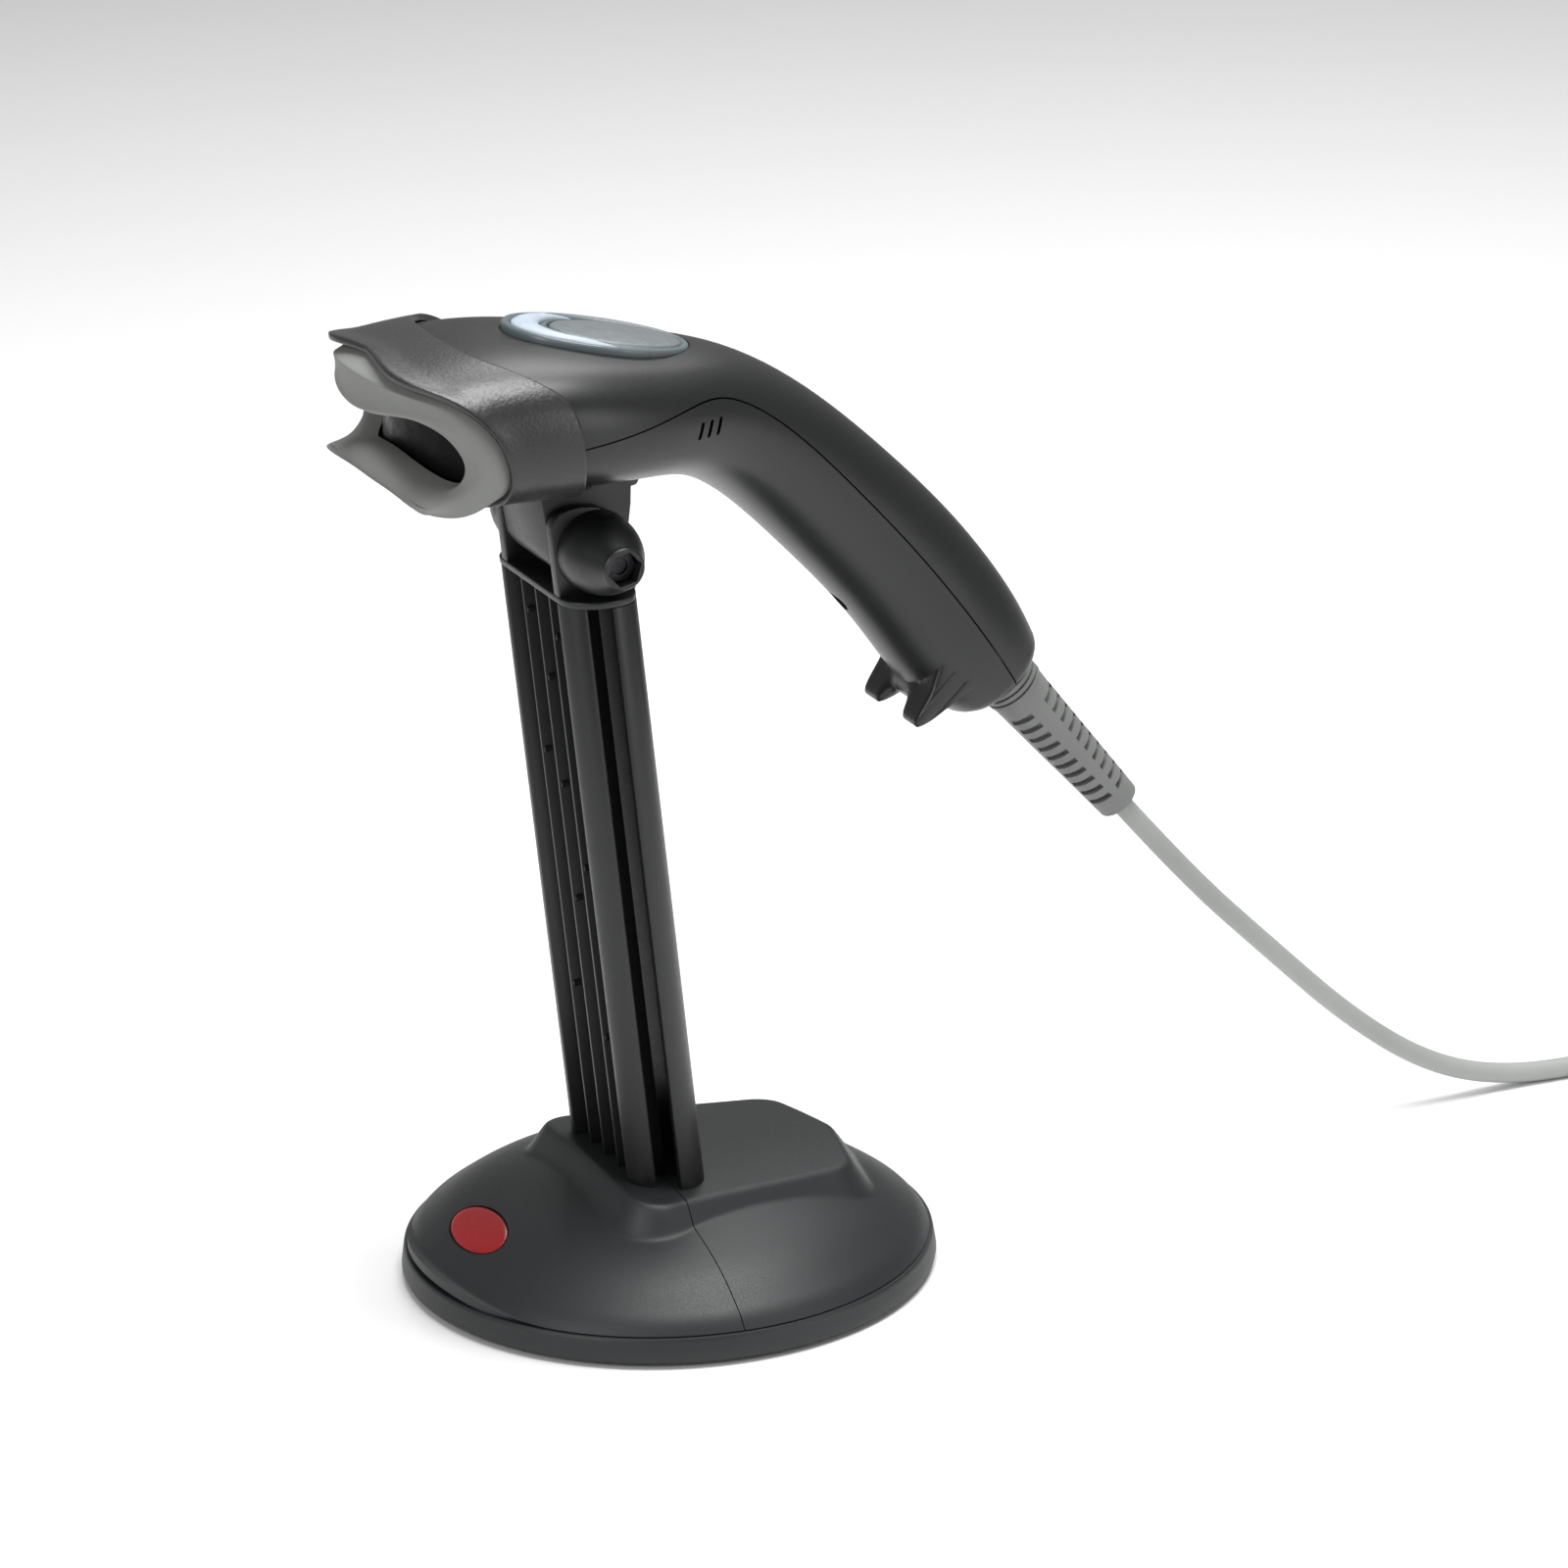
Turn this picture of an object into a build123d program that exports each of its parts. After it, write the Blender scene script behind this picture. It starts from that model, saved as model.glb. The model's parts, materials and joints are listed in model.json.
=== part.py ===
from build123d import *
import math
import os

# Handheld barcode scanner resting in a tilting holder on a weighted desk stand.
# Millimetres. Origin: centre of the stand's underside. +Z up, the window faces -Y,
# and the scanner is symmetrical about the plane X = 0 apart from its fixings.

# ---- driving dimensions: stand -------------------------------------------------
BASE_D = 125.0            # base plate diameter
RIM_H = 7.4               # height of the plate's visible rim
PAD_D = 92.0              # anti-slip pad under the base
PAD_PROUD = 0.8           # how far the pad stands below the plate
WALL = 2.0                # moulding wall
SEAM_Y = -8.0             # plane between the front and rear base covers
PLATFORM_FRONT = (32.6, -20.8)     # half width and Y of the platform's front edge
PLATFORM_BACK = (24.5, 38.0)       # and of its back corners
PLATFORM_END_Y = 43.0
PLATFORM_TOP = 29.4
PLATFORM_FALL = 3.7       # degrees the platform's top drops towards the back
POST_FOOT_Z = 22.0
POST_TOP_Z = 172.0
POST_FRONT_Y = -15.9      # front face of the post at its foot
POST_LEAN = 4.9           # degrees the post leans towards the window side
POST_HALF_X = 16.2
CAP_T = 1.7

# ---- driving dimensions: pivot and holder --------------------------------------
PIVOT = (-19.4, 181.7)    # Y and Z of the tilt axis, which runs along X
EAR_IN = 13.4             # inner faces of the two ears
EAR_OUT = 16.6
DOME_R = 9.3
DOME_H = 16.4
BOLT_R = 2.0              # M4
HEX_AF = 7.0
POCKET_DEPTH = 6.2        # hexagonal pocket in each dome
NUT_T = 2.9
CUP_GAP = 0.35            # between the scanner and the holder
CUP_WALL = 1.5
HEAD_PITCH = 5.0          # degrees the head's rear end drops

# ---- driving dimensions: scanner -----------------------------------------------
SHELL_T = 2.0
BUTTON_LENGTH = 44.0
BUTTON_WIDTH = 32.8
BUTTON_PITCH = 12.6
BUTTON_AT = (-10.9, 225.6)
HANDLE_PITCH = 50.5       # degrees the handle's end points below horizontal
RELIEF_LENGTH = 48.1
CORD_D = 5.0
COIL_MID_D = 56.0         # coil diameter at the middle of its turns
COIL_SECTION = 15.0       # the bundle of turns is this wide and high
COIL_AT = (-26.0, 316.0)

os.makedirs("parts", exist_ok=True)


def write(builder, name):
    builder.part.label = name
    export_step(builder.part, "parts/" + name + ".step")


def side_plane(x=0.0):
    """A plane across X whose local x is row Y and local y is row Z."""
    return Plane(origin=(x, 0, 0), x_dir=(0, 1, 0), z_dir=(1, 0, 0))


# ==== the scanner's outer form ==================================================
# Sections along the spine: Y and Z of the spine, pitch below horizontal,
# half width, height above, height below, and how square the corners are.
SPINE = [
    ("nose", -80.0, 214.5, HEAD_PITCH, 30.5, 12.0, 11.5, 0.74),
    ("front", -60.0, 213.2, HEAD_PITCH, 33.6, 15.6, 13.6, 0.76),
    ("brow", -42.0, 212.8, HEAD_PITCH, 34.4, 17.2, 15.0, 0.76),
    ("cheek", -24.0, 211.6, 8.0, 33.6, 16.8, 15.0, 0.74),
    ("crown", -5.0, 209.4, 15.0, 29.5, 15.4, 14.8, 0.68),
    ("neck", 12.0, 205.4, 27.0, 23.5, 15.6, 14.4, 0.63),
    ("shoulder", 29.0, 195.6, 41.0, 19.4, 15.6, 15.0, 0.60),
    ("grip", 47.0, 179.2, 48.5, 17.2, 15.8, 16.2, 0.58),
    ("palm", 64.0, 159.8, 51.0, 16.4, 16.4, 16.6, 0.58),
    ("heel", 76.8, 141.5, 51.5, 16.2, 16.4, 16.2, 0.60),
    ("end", 85.7, 130.6, HANDLE_PITCH, 14.4, 13.0, 12.0, 0.62),
]


def section_plane(y, z, pitch):
    """The plane across the spine: local x is row X, local y points up and back."""
    turn = math.radians(pitch)
    along = (0, -math.cos(turn), math.sin(turn))
    return Plane(origin=(0, y, z), x_dir=(1, 0, 0), z_dir=along)


def section_outline(half_width, above, below, square):
    """A rounded outline of four Bezier quarters, squarer as square nears 1."""
    w = half_width
    Bezier((w, 0), (w, above * square), (w * square, above), (0, above))
    Bezier((0, above), (-w * square, above), (-w, above * square), (-w, 0))
    Bezier((-w, 0), (-w, -below * square), (-w * square, -below), (0, -below))
    Bezier((0, -below), (w * square, -below), (w, -below * square), (w, 0))


def body_form(grow, first, last, shorten=0.0):
    """The scanner's form from one spine section to another, grown by grow."""
    names = [row[0] for row in SPINE]
    rows = SPINE[names.index(first):names.index(last) + 1]
    with BuildPart() as form:
        for name, y, z, pitch, width, above, below, square in rows:
            if name == last:
                turn = math.radians(pitch)
                y = y - shorten * math.cos(turn)
                z = z + shorten * math.sin(turn)
            with BuildSketch(section_plane(y, z, pitch)):
                with BuildLine():
                    section_outline(width + grow, above + grow, below + grow, square)
                make_face()
        loft()
    return form.part


NOSE_R = 51.0             # plan radius of the rounded front of the head
FACE_Y = -62.0            # foremost point of the housing's front
FACE_CENTRE_Y = FACE_Y + NOSE_R


def behind_front(offset):
    """Everything behind the head's rounded front face, moved by offset along Y."""
    with BuildPart() as keep:
        with BuildSketch(Plane.XY.offset(100)):
            with Locations((0, FACE_CENTRE_Y + offset)):
                Circle(NOSE_R)
            with Locations((0, FACE_CENTRE_Y + offset + 100)):
                Rectangle(2 * NOSE_R, 200)
        extrude(amount=160)
    return keep.part


# the line where the upper and lower shells meet, seen from the side
PART_LINE = [
    (-110, 207.5), (-28, 210.8), (-12, 212.4), (0, 214.3), (9, 214.4), (17, 211.2),
    (25, 205.6), (35, 196.4), (46, 184.6), (57, 172.0), (68, 158.0), (78, 143.8),
    (87, 129.8), (105, 101.0),
]


def above_part_line(shift):
    """The space over the parting line, lowered or raised by shift."""
    with BuildPart() as space:
        with BuildSketch(side_plane(-60)):
            with BuildLine():
                edge = Spline(*[(y, z + shift) for y, z in PART_LINE])
                Polyline(edge @ 1, (190, 101), (190, 300), (-110, 300), edge @ 0)
            make_face()
        extrude(amount=120)
    return space.part


outer_form = body_form(0.0, "nose", "end") & behind_front(0)
inner_form = body_form(-SHELL_T, "nose", "end", shorten=4.0) & behind_front(8)


def button_plane(lift=0.0):
    turn = math.radians(BUTTON_PITCH)
    normal = (0, math.sin(turn), math.cos(turn))
    origin = (0, BUTTON_AT[0] + lift * normal[1], BUTTON_AT[1] + lift * normal[2])
    return Plane(origin=origin, x_dir=(0, math.cos(turn), -math.sin(turn)), z_dir=normal)


# ==== scanner shells ============================================================
HOOK_HALF_X = 14.0
NOTCH_R = 6.2


def handle_point(along, out):
    """Row Y and Z of a point along the handle and out from its axis direction."""
    turn = math.radians(HANDLE_PITCH)
    y = along * math.cos(turn) + out * math.sin(turn)
    z = -along * math.sin(turn) + out * math.cos(turn)
    return (y, z)


# The hook in side view, as places along the handle and out from its axis.
HOOK_THROAT = [(-80, 139), (-68.5, 138.6), (-64.4, 136.4), (-62.2, 132.6), (-61.0, 129.0), (-60.0, 127.0)]
HOOK_LIP = [(-60.0, 127.0), (-58.6, 126.6), (-57.4, 128.2), (-56.4, 134.0), (-54.8, 144.0)]

with BuildPart() as finger_hook:
    with BuildSketch(side_plane(-HOOK_HALF_X)):
        with BuildLine():
            throat = Spline(*[handle_point(*point) for point in HOOK_THROAT])
            lip = Spline(*[handle_point(*point) for point in HOOK_LIP])
            Polyline(lip @ 1, handle_point(-80, 150), throat @ 0)
        make_face()
    extrude(amount=2 * HOOK_HALF_X)
    notch_y, notch_z = handle_point(-60.0, 124.6)
    with BuildSketch(Plane(origin=(0, notch_y, notch_z), x_dir=(1, 0, 0),
                           z_dir=(0, math.cos(math.radians(HANDLE_PITCH)),
                                  -math.sin(math.radians(HANDLE_PITCH))))):
        Ellipse(NOTCH_R, 7.4)
    extrude(amount=30, both=True, mode=Mode.SUBTRACT)


def along_handle(along, out):
    """A plane across the handle's axis, facing the cord, at that place."""
    y, z = handle_point(along, out)
    turn = math.radians(HANDLE_PITCH)
    return Plane(origin=(0, y, z), x_dir=(1, 0, 0), z_dir=(0, math.cos(turn), -math.sin(turn)))


def out_of_handle(along, out):
    """A plane facing out through the handle's back, at that place."""
    y, z = handle_point(along, out)
    turn = math.radians(HANDLE_PITCH)
    return Plane(origin=(0, y, z), x_dir=(1, 0, 0), z_dir=(0, math.sin(turn), math.cos(turn)))


def disc(plane, radius, length):
    """A round bar from the plane along its normal, as a private part."""
    with BuildPart() as bar:
        with BuildSketch(plane):
            Circle(radius)
        extrude(amount=length)
    return bar.part


def block(x, y, z):
    """A box between two corners given as (low, high) pairs on each axis."""
    with BuildPart() as body:
        with BuildSketch(Plane.XY.offset(z[0])):
            with Locations(((x[0] + x[1]) / 2, (y[0] + y[1]) / 2)):
                Rectangle(x[1] - x[0], y[1] - y[0])
        extrude(amount=z[1] - z[0])
    return body.part


WINDOW_Z = 208.4


def window_prism(grow, y_from, y_to):
    """The window's outline carried along Y."""
    with BuildPart() as prism:
        with BuildSketch(Plane(origin=(0, y_to, WINDOW_Z), x_dir=(1, 0, 0), z_dir=(0, -1, 0))):
            with BuildLine():
                section_outline(26.5 + grow, 5.6 + grow, 4.4 + grow, 0.72)
            make_face()
        extrude(amount=y_to - y_from)
    return prism.part


SCREW_ALONG = -89.0
SCREW_SEAT = 137.4        # the screw's head rests here, inside a recess in the handle's underside
SCREW_HEAD_T = 1.7
BOSS_MEET = 148.3         # the lower shell's boss ends here
RELIEF_OUT = 151.2
RELIEF_ALONG = -44.8
PANE_Y = (-59.0, -57.4)

shell_screw_hole = disc(out_of_handle(SCREW_ALONG, 120), 1.6, 31)
shell_screw_recess = disc(out_of_handle(SCREW_ALONG, 120), 3.0, SCREW_SEAT - 120)
relief_bore = disc(along_handle(RELIEF_ALONG - 16, RELIEF_OUT), 5.1, 30)
window_hole = window_prism(0.0, -90, -40)
pane_pocket = window_prism(1.9, PANE_Y[0] - 30, PANE_Y[1] + 0.1)
part_space_low = above_part_line(-0.15)

with BuildPart() as lower_shell:
    add(outer_form)
    add(finger_hook.part)
    add(inner_form, mode=Mode.SUBTRACT)
    add(disc(out_of_handle(SCREW_ALONG, 130.8), 4.2, BOSS_MEET - 130.8) & outer_form)
    add(shell_screw_hole, mode=Mode.SUBTRACT)
    add(shell_screw_recess, mode=Mode.SUBTRACT)
    add(relief_bore, mode=Mode.SUBTRACT)
    add(window_hole, mode=Mode.SUBTRACT)
    add(pane_pocket, mode=Mode.SUBTRACT)
    for step in range(3):
        slot = block((15, 32), (2.0 + 2.6 * step, 2.9 + 2.6 * step), (206.5, 210.5))
        add(slot, mode=Mode.SUBTRACT)
    add(part_space_low, mode=Mode.SUBTRACT)

with BuildPart() as upper_shell:
    add(outer_form)
    add(inner_form, mode=Mode.SUBTRACT)
    add(disc(out_of_handle(SCREW_ALONG, 149.0), 3.6, 16))
    add(disc(out_of_handle(SCREW_ALONG, 148.0), 1.45, 11), mode=Mode.SUBTRACT)
    add(relief_bore, mode=Mode.SUBTRACT)
    add(window_hole, mode=Mode.SUBTRACT)
    add(pane_pocket, mode=Mode.SUBTRACT)
    with BuildSketch(button_plane(-7.0)):
        Ellipse(BUTTON_LENGTH / 2 - 1.3, BUTTON_WIDTH / 2 - 1.3)
    extrude(amount=16, mode=Mode.SUBTRACT)
    with BuildSketch(button_plane(0.35)):
        Ellipse(BUTTON_LENGTH / 2 + 0.1, BUTTON_WIDTH / 2 + 0.1)
    extrude(amount=8, mode=Mode.SUBTRACT)
    add(above_part_line(0.15), mode=Mode.INTERSECT)

with BuildPart() as shell_screw:
    add(disc(out_of_handle(SCREW_ALONG, SCREW_SEAT - SCREW_HEAD_T), 2.7, SCREW_HEAD_T))
    add(disc(out_of_handle(SCREW_ALONG, SCREW_SEAT), 1.4, 20))
    with BuildSketch(out_of_handle(SCREW_ALONG, SCREW_SEAT - SCREW_HEAD_T)):
        Rectangle(3.4, 0.7)
        Rectangle(0.7, 3.4)
    extrude(amount=0.9, mode=Mode.SUBTRACT)

# ==== nose bumper and window ====================================================
BUMPER_OUT = 6.5

with BuildPart() as nose_bumper:
    add(body_form(0.0, "nose", "front") & behind_front(-BUMPER_OUT))
    add(behind_front(-0.0), mode=Mode.SUBTRACT)
    add(window_hole, mode=Mode.SUBTRACT)
    add(window_prism(2.0, PANE_Y[0] - 0.1, -40), mode=Mode.SUBTRACT)

with BuildPart() as window_pane:
    add(window_prism(1.7, *PANE_Y))

# ==== top button and light ring =================================================
DOME_LENGTH = 31.0
DOME_WIDTH = 23.0
DOME_BACK = 4.9           # the dome sits this far behind the ring's centre


def button_oval(base, top, length, width, back=0.0):
    """An oval plug between two heights over the button plane."""
    with BuildPart() as plug:
        with BuildSketch(button_plane(base)):
            with Locations((back, 0)):
                Ellipse(length / 2, width / 2)
        extrude(amount=top - base)
    return plug.part


with BuildPart() as button_ring:
    add(button_oval(0.4, 1.4, BUTTON_LENGTH, BUTTON_WIDTH))
    add(button_oval(-2.4, 0.4, BUTTON_LENGTH - 3.2, BUTTON_WIDTH - 3.2))
    add(button_oval(-3.0, 2.0, DOME_LENGTH + 0.8, DOME_WIDTH + 0.8, DOME_BACK), mode=Mode.SUBTRACT)
    crescent_bed = button_oval(0.0, 2.0, BUTTON_LENGTH - 4.4, BUTTON_WIDTH - 4.4)
    crescent_bed = crescent_bed - button_oval(-0.5, 2.5, DOME_LENGTH + 4.0, DOME_WIDTH + 4.0, DOME_BACK)
    add(crescent_bed, mode=Mode.SUBTRACT)

with BuildPart() as light_crescent:
    add(button_oval(0.0, 1.7, BUTTON_LENGTH - 4.6, BUTTON_WIDTH - 4.6))
    add(button_oval(-0.5, 2.5, DOME_LENGTH + 4.2, DOME_WIDTH + 4.2, DOME_BACK), mode=Mode.SUBTRACT)

with BuildPart() as trigger_button:
    add(button_oval(-1.6, 1.5, DOME_LENGTH, DOME_WIDTH, DOME_BACK))
    top_rim = trigger_button.faces().sort_by(Axis.Z)[-1].edges()
    fillet(top_rim, 0.9)
    with BuildSketch(button_plane(-10.0)):
        with Locations((DOME_BACK, 0)):
            Circle(2.4)
    extrude(amount=9.0)

# ==== inside the scanner ========================================================
BOARD_Z = 204.6
inner_space = body_form(-SHELL_T - 0.7, "nose", "end", shorten=6.0) & behind_front(9.5)

with BuildPart() as main_board:
    add(block((-24, 24), (-49, 6), (BOARD_Z, BOARD_Z + 1.6)))
    add(inner_space, mode=Mode.INTERSECT)

BOARD_TOP = BOARD_Z + 1.6

with BuildPart() as engine_chassis:
    add(block((-21, 21), (-47, -22), (BOARD_TOP, BOARD_TOP + 2)))
    add(block((-20, -10), (-45, -33), (BOARD_TOP + 2, BOARD_TOP + 4)))

CHASSIS_TOP = BOARD_TOP + 2

with BuildPart() as laser_module:
    laser_plane = Plane(origin=(-15, -46, CHASSIS_TOP + 6), x_dir=(1, 0, 0), z_dir=(0, 1, 0))
    add(disc(laser_plane, 4.0, 14))
    add(disc(laser_plane.offset(14), 2.4, 2))
    add(disc(laser_plane.offset(14.5), 1.2, 3), mode=Mode.SUBTRACT)

MIRROR_AT = (2.0, -33.0)
mirror_plane = Plane(origin=(MIRROR_AT[0], MIRROR_AT[1], CHASSIS_TOP), x_dir=(1, 0, 0))

with BuildPart() as mirror_motor:
    add(disc(mirror_plane, 5.0, 3.5))
    add(disc(mirror_plane, 0.8, 9.5))

with BuildPart() as scan_mirror:
    with BuildSketch(mirror_plane.offset(3.8)):
        with Locations(Rotation(0, 0, 35)):
            Rectangle(12.0, 1.2)
        Circle(1.7)
    extrude(amount=7.5)
    add(disc(mirror_plane.offset(3), 0.86, 9), mode=Mode.SUBTRACT)

with BuildPart() as collector_mirror:
    add(block((-12, 19), (-25, -22.6), (CHASSIS_TOP, CHASSIS_TOP + 11)))
    with BuildSketch(Plane.XY.offset(CHASSIS_TOP + 1)):
        with Locations((3.5, -25 - 78.6)):
            Circle(80)
    extrude(amount=12, mode=Mode.SUBTRACT)

with BuildPart() as photo_board:
    add(block((12, 20), (-45, -43.4), (CHASSIS_TOP, CHASSIS_TOP + 10)))
    add(block((14, 18), (-43.4, -42.2), (CHASSIS_TOP + 3, CHASSIS_TOP + 7)))

with BuildPart() as trigger_switch:
    add(block((-3, 3), (-9.2, -3.2), (BOARD_TOP, BOARD_TOP + 3.6)))
    switch_top = Plane(origin=(0, -6.2, BOARD_TOP + 3.6), x_dir=(1, 0, 0))
    add(disc(switch_top, 1.7, 1.2))

with BuildPart() as buzzer:
    add(disc(Plane(origin=(12.5, -1.5, BOARD_TOP), x_dir=(1, 0, 0)), 6.0, 5.0))
    add(disc(Plane(origin=(12.5, -1.5, BOARD_TOP + 4), x_dir=(1, 0, 0)), 1.0, 2.0), mode=Mode.SUBTRACT)

with BuildPart() as indicator_leds:
    for x in (-8.0, 8.0):
        add(block((x - 1.6, x + 1.6), (-20.5, -17.5), (BOARD_TOP, BOARD_TOP + 2.2)))

with BuildPart() as cable_connector:
    add(block((-7, 7), (6.5, 12.5), (BOARD_Z - 4.0, BOARD_TOP + 1.0)))

# ==== strain relief, cord and plug ==============================================
RELIEF_R0 = 7.3
RELIEF_R1 = 5.2

with BuildPart() as strain_relief:
    base = along_handle(RELIEF_ALONG, RELIEF_OUT)
    add(disc(base.offset(-12), 5.0, 12.5))
    add(disc(base.offset(-12), 6.6, 2.5))
    add(disc(base, RELIEF_R0, 6.0))
    for step in range(3):
        groove = base.offset(1.2 + 1.6 * step)
        add(disc(groove, RELIEF_R0 + 1, 0.6) - disc(groove, RELIEF_R0 - 0.6, 0.6), mode=Mode.SUBTRACT)
    with BuildSketch(base.offset(6.0)):
        Circle(RELIEF_R0 - 0.3)
    with BuildSketch(base.offset(RELIEF_LENGTH)):
        Circle(RELIEF_R1)
    loft()
    for step in range(10):
        cut = base.offset(10.5 + 3.45 * step)
        with BuildSketch(cut):
            with PolarLocations(8.3 - 0.055 * (10.5 + 3.45 * step), 4, start_angle=45):
                Rectangle(4.6, 6.0)
        extrude(amount=1.5, mode=Mode.SUBTRACT)

relief_end = along_handle(RELIEF_ALONG + RELIEF_LENGTH, RELIEF_OUT).origin
cable_way = along_handle(0, 0).z_dir
FLOOR = CORD_D / 2

# The cord's route from the strain relief down to the table and along it.
ROUTE = [
    tuple(relief_end),
    tuple(relief_end + cable_way * 30),
    (0.6, 158.5, 49.5),
    (0.2, 181.0, 27.0),
    (1.4, 203.0, 10.5),
    (0.8, 226.0, FLOOR),
    (3.2, 254.0, FLOOR),
    (COIL_AT[0] + COIL_MID_D / 2, COIL_AT[1] - 26.0, FLOOR),
]


def arc_radii(points):
    """For each corner, 0.45 of the shorter run over the tangent of half the turn."""
    radii = []
    for before, here, after in zip(points, points[1:], points[2:]):
        run_in = Vector(here) - Vector(before)
        run_out = Vector(after) - Vector(here)
        half_turn = math.radians(run_in.get_angle(run_out)) / 2
        radii.append(0.45 * min(run_in.length, run_out.length) / math.tan(half_turn))
    return radii


def tube_along(points, diameter):
    """A round tube along straight runs joined by tangent arcs."""
    radii = arc_radii(points)
    with BuildPart() as tube:
        with BuildLine() as path:
            FilletPolyline(*points, radius=radii)
        way = path.wires()[0]
        with BuildSketch(Plane(origin=way @ 0, z_dir=way % 0)):
            Circle(diameter / 2)
        sweep(path=way)
    return tube.part, way.length, radii


cord_part, cord_length, cord_radii = tube_along(ROUTE, CORD_D)
with BuildPart() as cord:
    add(cord_part)

PLUG_X = 4.0
PLUG_Y = 363.0
PLUG_Z = 4.5
TAIL = [
    (COIL_AT[0] + COIL_MID_D / 2, COIL_AT[1] + 21.9, FLOOR),
    (COIL_AT[0] + COIL_MID_D / 2 + 1.4, COIL_AT[1] + 33.0, FLOOR + 0.3),
    (PLUG_X, PLUG_Y, PLUG_Z),
]
tail_part, tail_length, tail_radii = tube_along(TAIL, CORD_D)
with BuildPart() as cord_tail:
    add(tail_part)

with BuildPart() as cord_coil:
    with BuildSketch(Plane(origin=(COIL_AT[0], COIL_AT[1], 0), x_dir=(1, 0, 0), z_dir=(0, -1, 0))):
        with Locations((COIL_MID_D / 2, COIL_SECTION / 2)):
            RectangleRounded(COIL_SECTION, COIL_SECTION, 4.5)
    revolve(axis=Axis((COIL_AT[0], COIL_AT[1], 0), (0, 0, 1)))

plug_plane = Plane(origin=(PLUG_X, PLUG_Y, PLUG_Z), x_dir=(1, 0, 0), z_dir=(0, 1, 0))

with BuildPart() as plug_relief:
    with BuildSketch(plug_plane):
        Circle(3.1)
    with BuildSketch(plug_plane.offset(11)):
        Circle(3.9)
    loft()

with BuildPart() as plug_body:
    with BuildSketch(plug_plane.offset(11)):
        RectangleRounded(15.5, 9.0, 2.5)
    extrude(amount=25)

with BuildPart() as plug_shell:
    with BuildSketch(plug_plane.offset(36)):
        Rectangle(12.0, 4.5)
        Rectangle(11.4, 3.9, mode=Mode.SUBTRACT)
    extrude(amount=12)
    with BuildSketch(plug_plane.offset(36)):
        Rectangle(11.4, 3.9)
    extrude(amount=1.5)

with BuildPart() as plug_tongue:
    with BuildSketch(plug_plane.offset(37.5)):
        with Locations((0, 0.9)):
            Rectangle(11.2, 1.9)
    extrude(amount=9.5)

with BuildPart() as coil_tie:
    tie_plane = Plane(origin=(COIL_AT[0] - COIL_MID_D / 2, COIL_AT[1], 0), x_dir=(1, 0, 0), z_dir=(0, 1, 0))
    with BuildSketch(tie_plane.offset(-5)):
        with Locations((0, -COIL_SECTION / 2)):
            RectangleRounded(COIL_SECTION + 2.0, COIL_SECTION, 5.0)
            RectangleRounded(COIL_SECTION + 0.4, COIL_SECTION - 1.6, 4.4, mode=Mode.SUBTRACT)
    extrude(amount=10)

with BuildPart() as tied_coil:
    add(cord_coil.part)
    add(coil_tie.part, mode=Mode.SUBTRACT)

print("cord radii", [round(r, 1) for r in cord_radii], "length", round(cord_length, 1))
cord_expected = math.pi * CORD_D ** 2 / 4 * cord_length
print("cord volume", round(cord_part.volume, 1), "expected", round(cord_expected, 1))

# ==== holder ====================================================================
NECK_HALF_X = 13.1
TONGUE_HALF_X = 12.5       # half width of the saddle behind the cup

with BuildPart() as holder_cup:
    add(body_form(CUP_GAP + CUP_WALL, "nose", "neck") & behind_front(-0.6))
    add(body_form(CUP_GAP, "nose", "neck"), mode=Mode.SUBTRACT)
    with BuildSketch(side_plane(-60)):
        with BuildLine():
            Polyline((-120, 300), (-30.6, 300), (-30.6, 203.5), (-28.6, 200.5), (-7.5, 200.5),
                     (-7.5, 150), (-120, 150), (-120, 300))
        make_face()
    extrude(amount=120, mode=Mode.INTERSECT)
    add(block((21, 50), (-30.6, 10), (150, 202)), mode=Mode.SUBTRACT)
    add(block((-50, -21), (-30.6, 10), (150, 202)), mode=Mode.SUBTRACT)
    with BuildSketch(Plane.XY.offset(219.5)):
        with Locations((0, -22)):
            Ellipse(40, 25)
        with Locations((0, 3)):
            Rectangle(80, 50)
    extrude(amount=30, mode=Mode.SUBTRACT)
    neck = disc(Plane(origin=(-NECK_HALF_X, *PIVOT), x_dir=(0, 1, 0), z_dir=(1, 0, 0)), 9.0, 2 * NECK_HALF_X)
    add(neck)
    with BuildSketch(side_plane(-NECK_HALF_X)):
        with BuildLine():
            Polyline((-28.9, 181.2), (-10.6, 181.2), (-8.6, 197.5), (-31.0, 198.5), (-28.9, 181.2))
        make_face()
    extrude(amount=2 * NECK_HALF_X)
    with BuildSketch(side_plane(-TONGUE_HALF_X)):
        with BuildLine():
            Polyline((-24, 186.4), (-8.0, 186.4), (-1.2, 187.4), (1.0, 190.2), (1.0, 197.5), (-24, 200),
                     (-24, 186.4))
        make_face()
    extrude(amount=2 * TONGUE_HALF_X)
    add(body_form(CUP_GAP, "nose", "neck"), mode=Mode.SUBTRACT)
    bolt_line = Plane(origin=(-60, *PIVOT), x_dir=(0, 1, 0), z_dir=(1, 0, 0))
    add(disc(bolt_line, BOLT_R + 0.05, 120), mode=Mode.SUBTRACT)


def across(x):
    """A plane facing +X on the tilt axis."""
    return Plane(origin=(x, *PIVOT), x_dir=(0, 1, 0), z_dir=(1, 0, 0))


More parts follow.
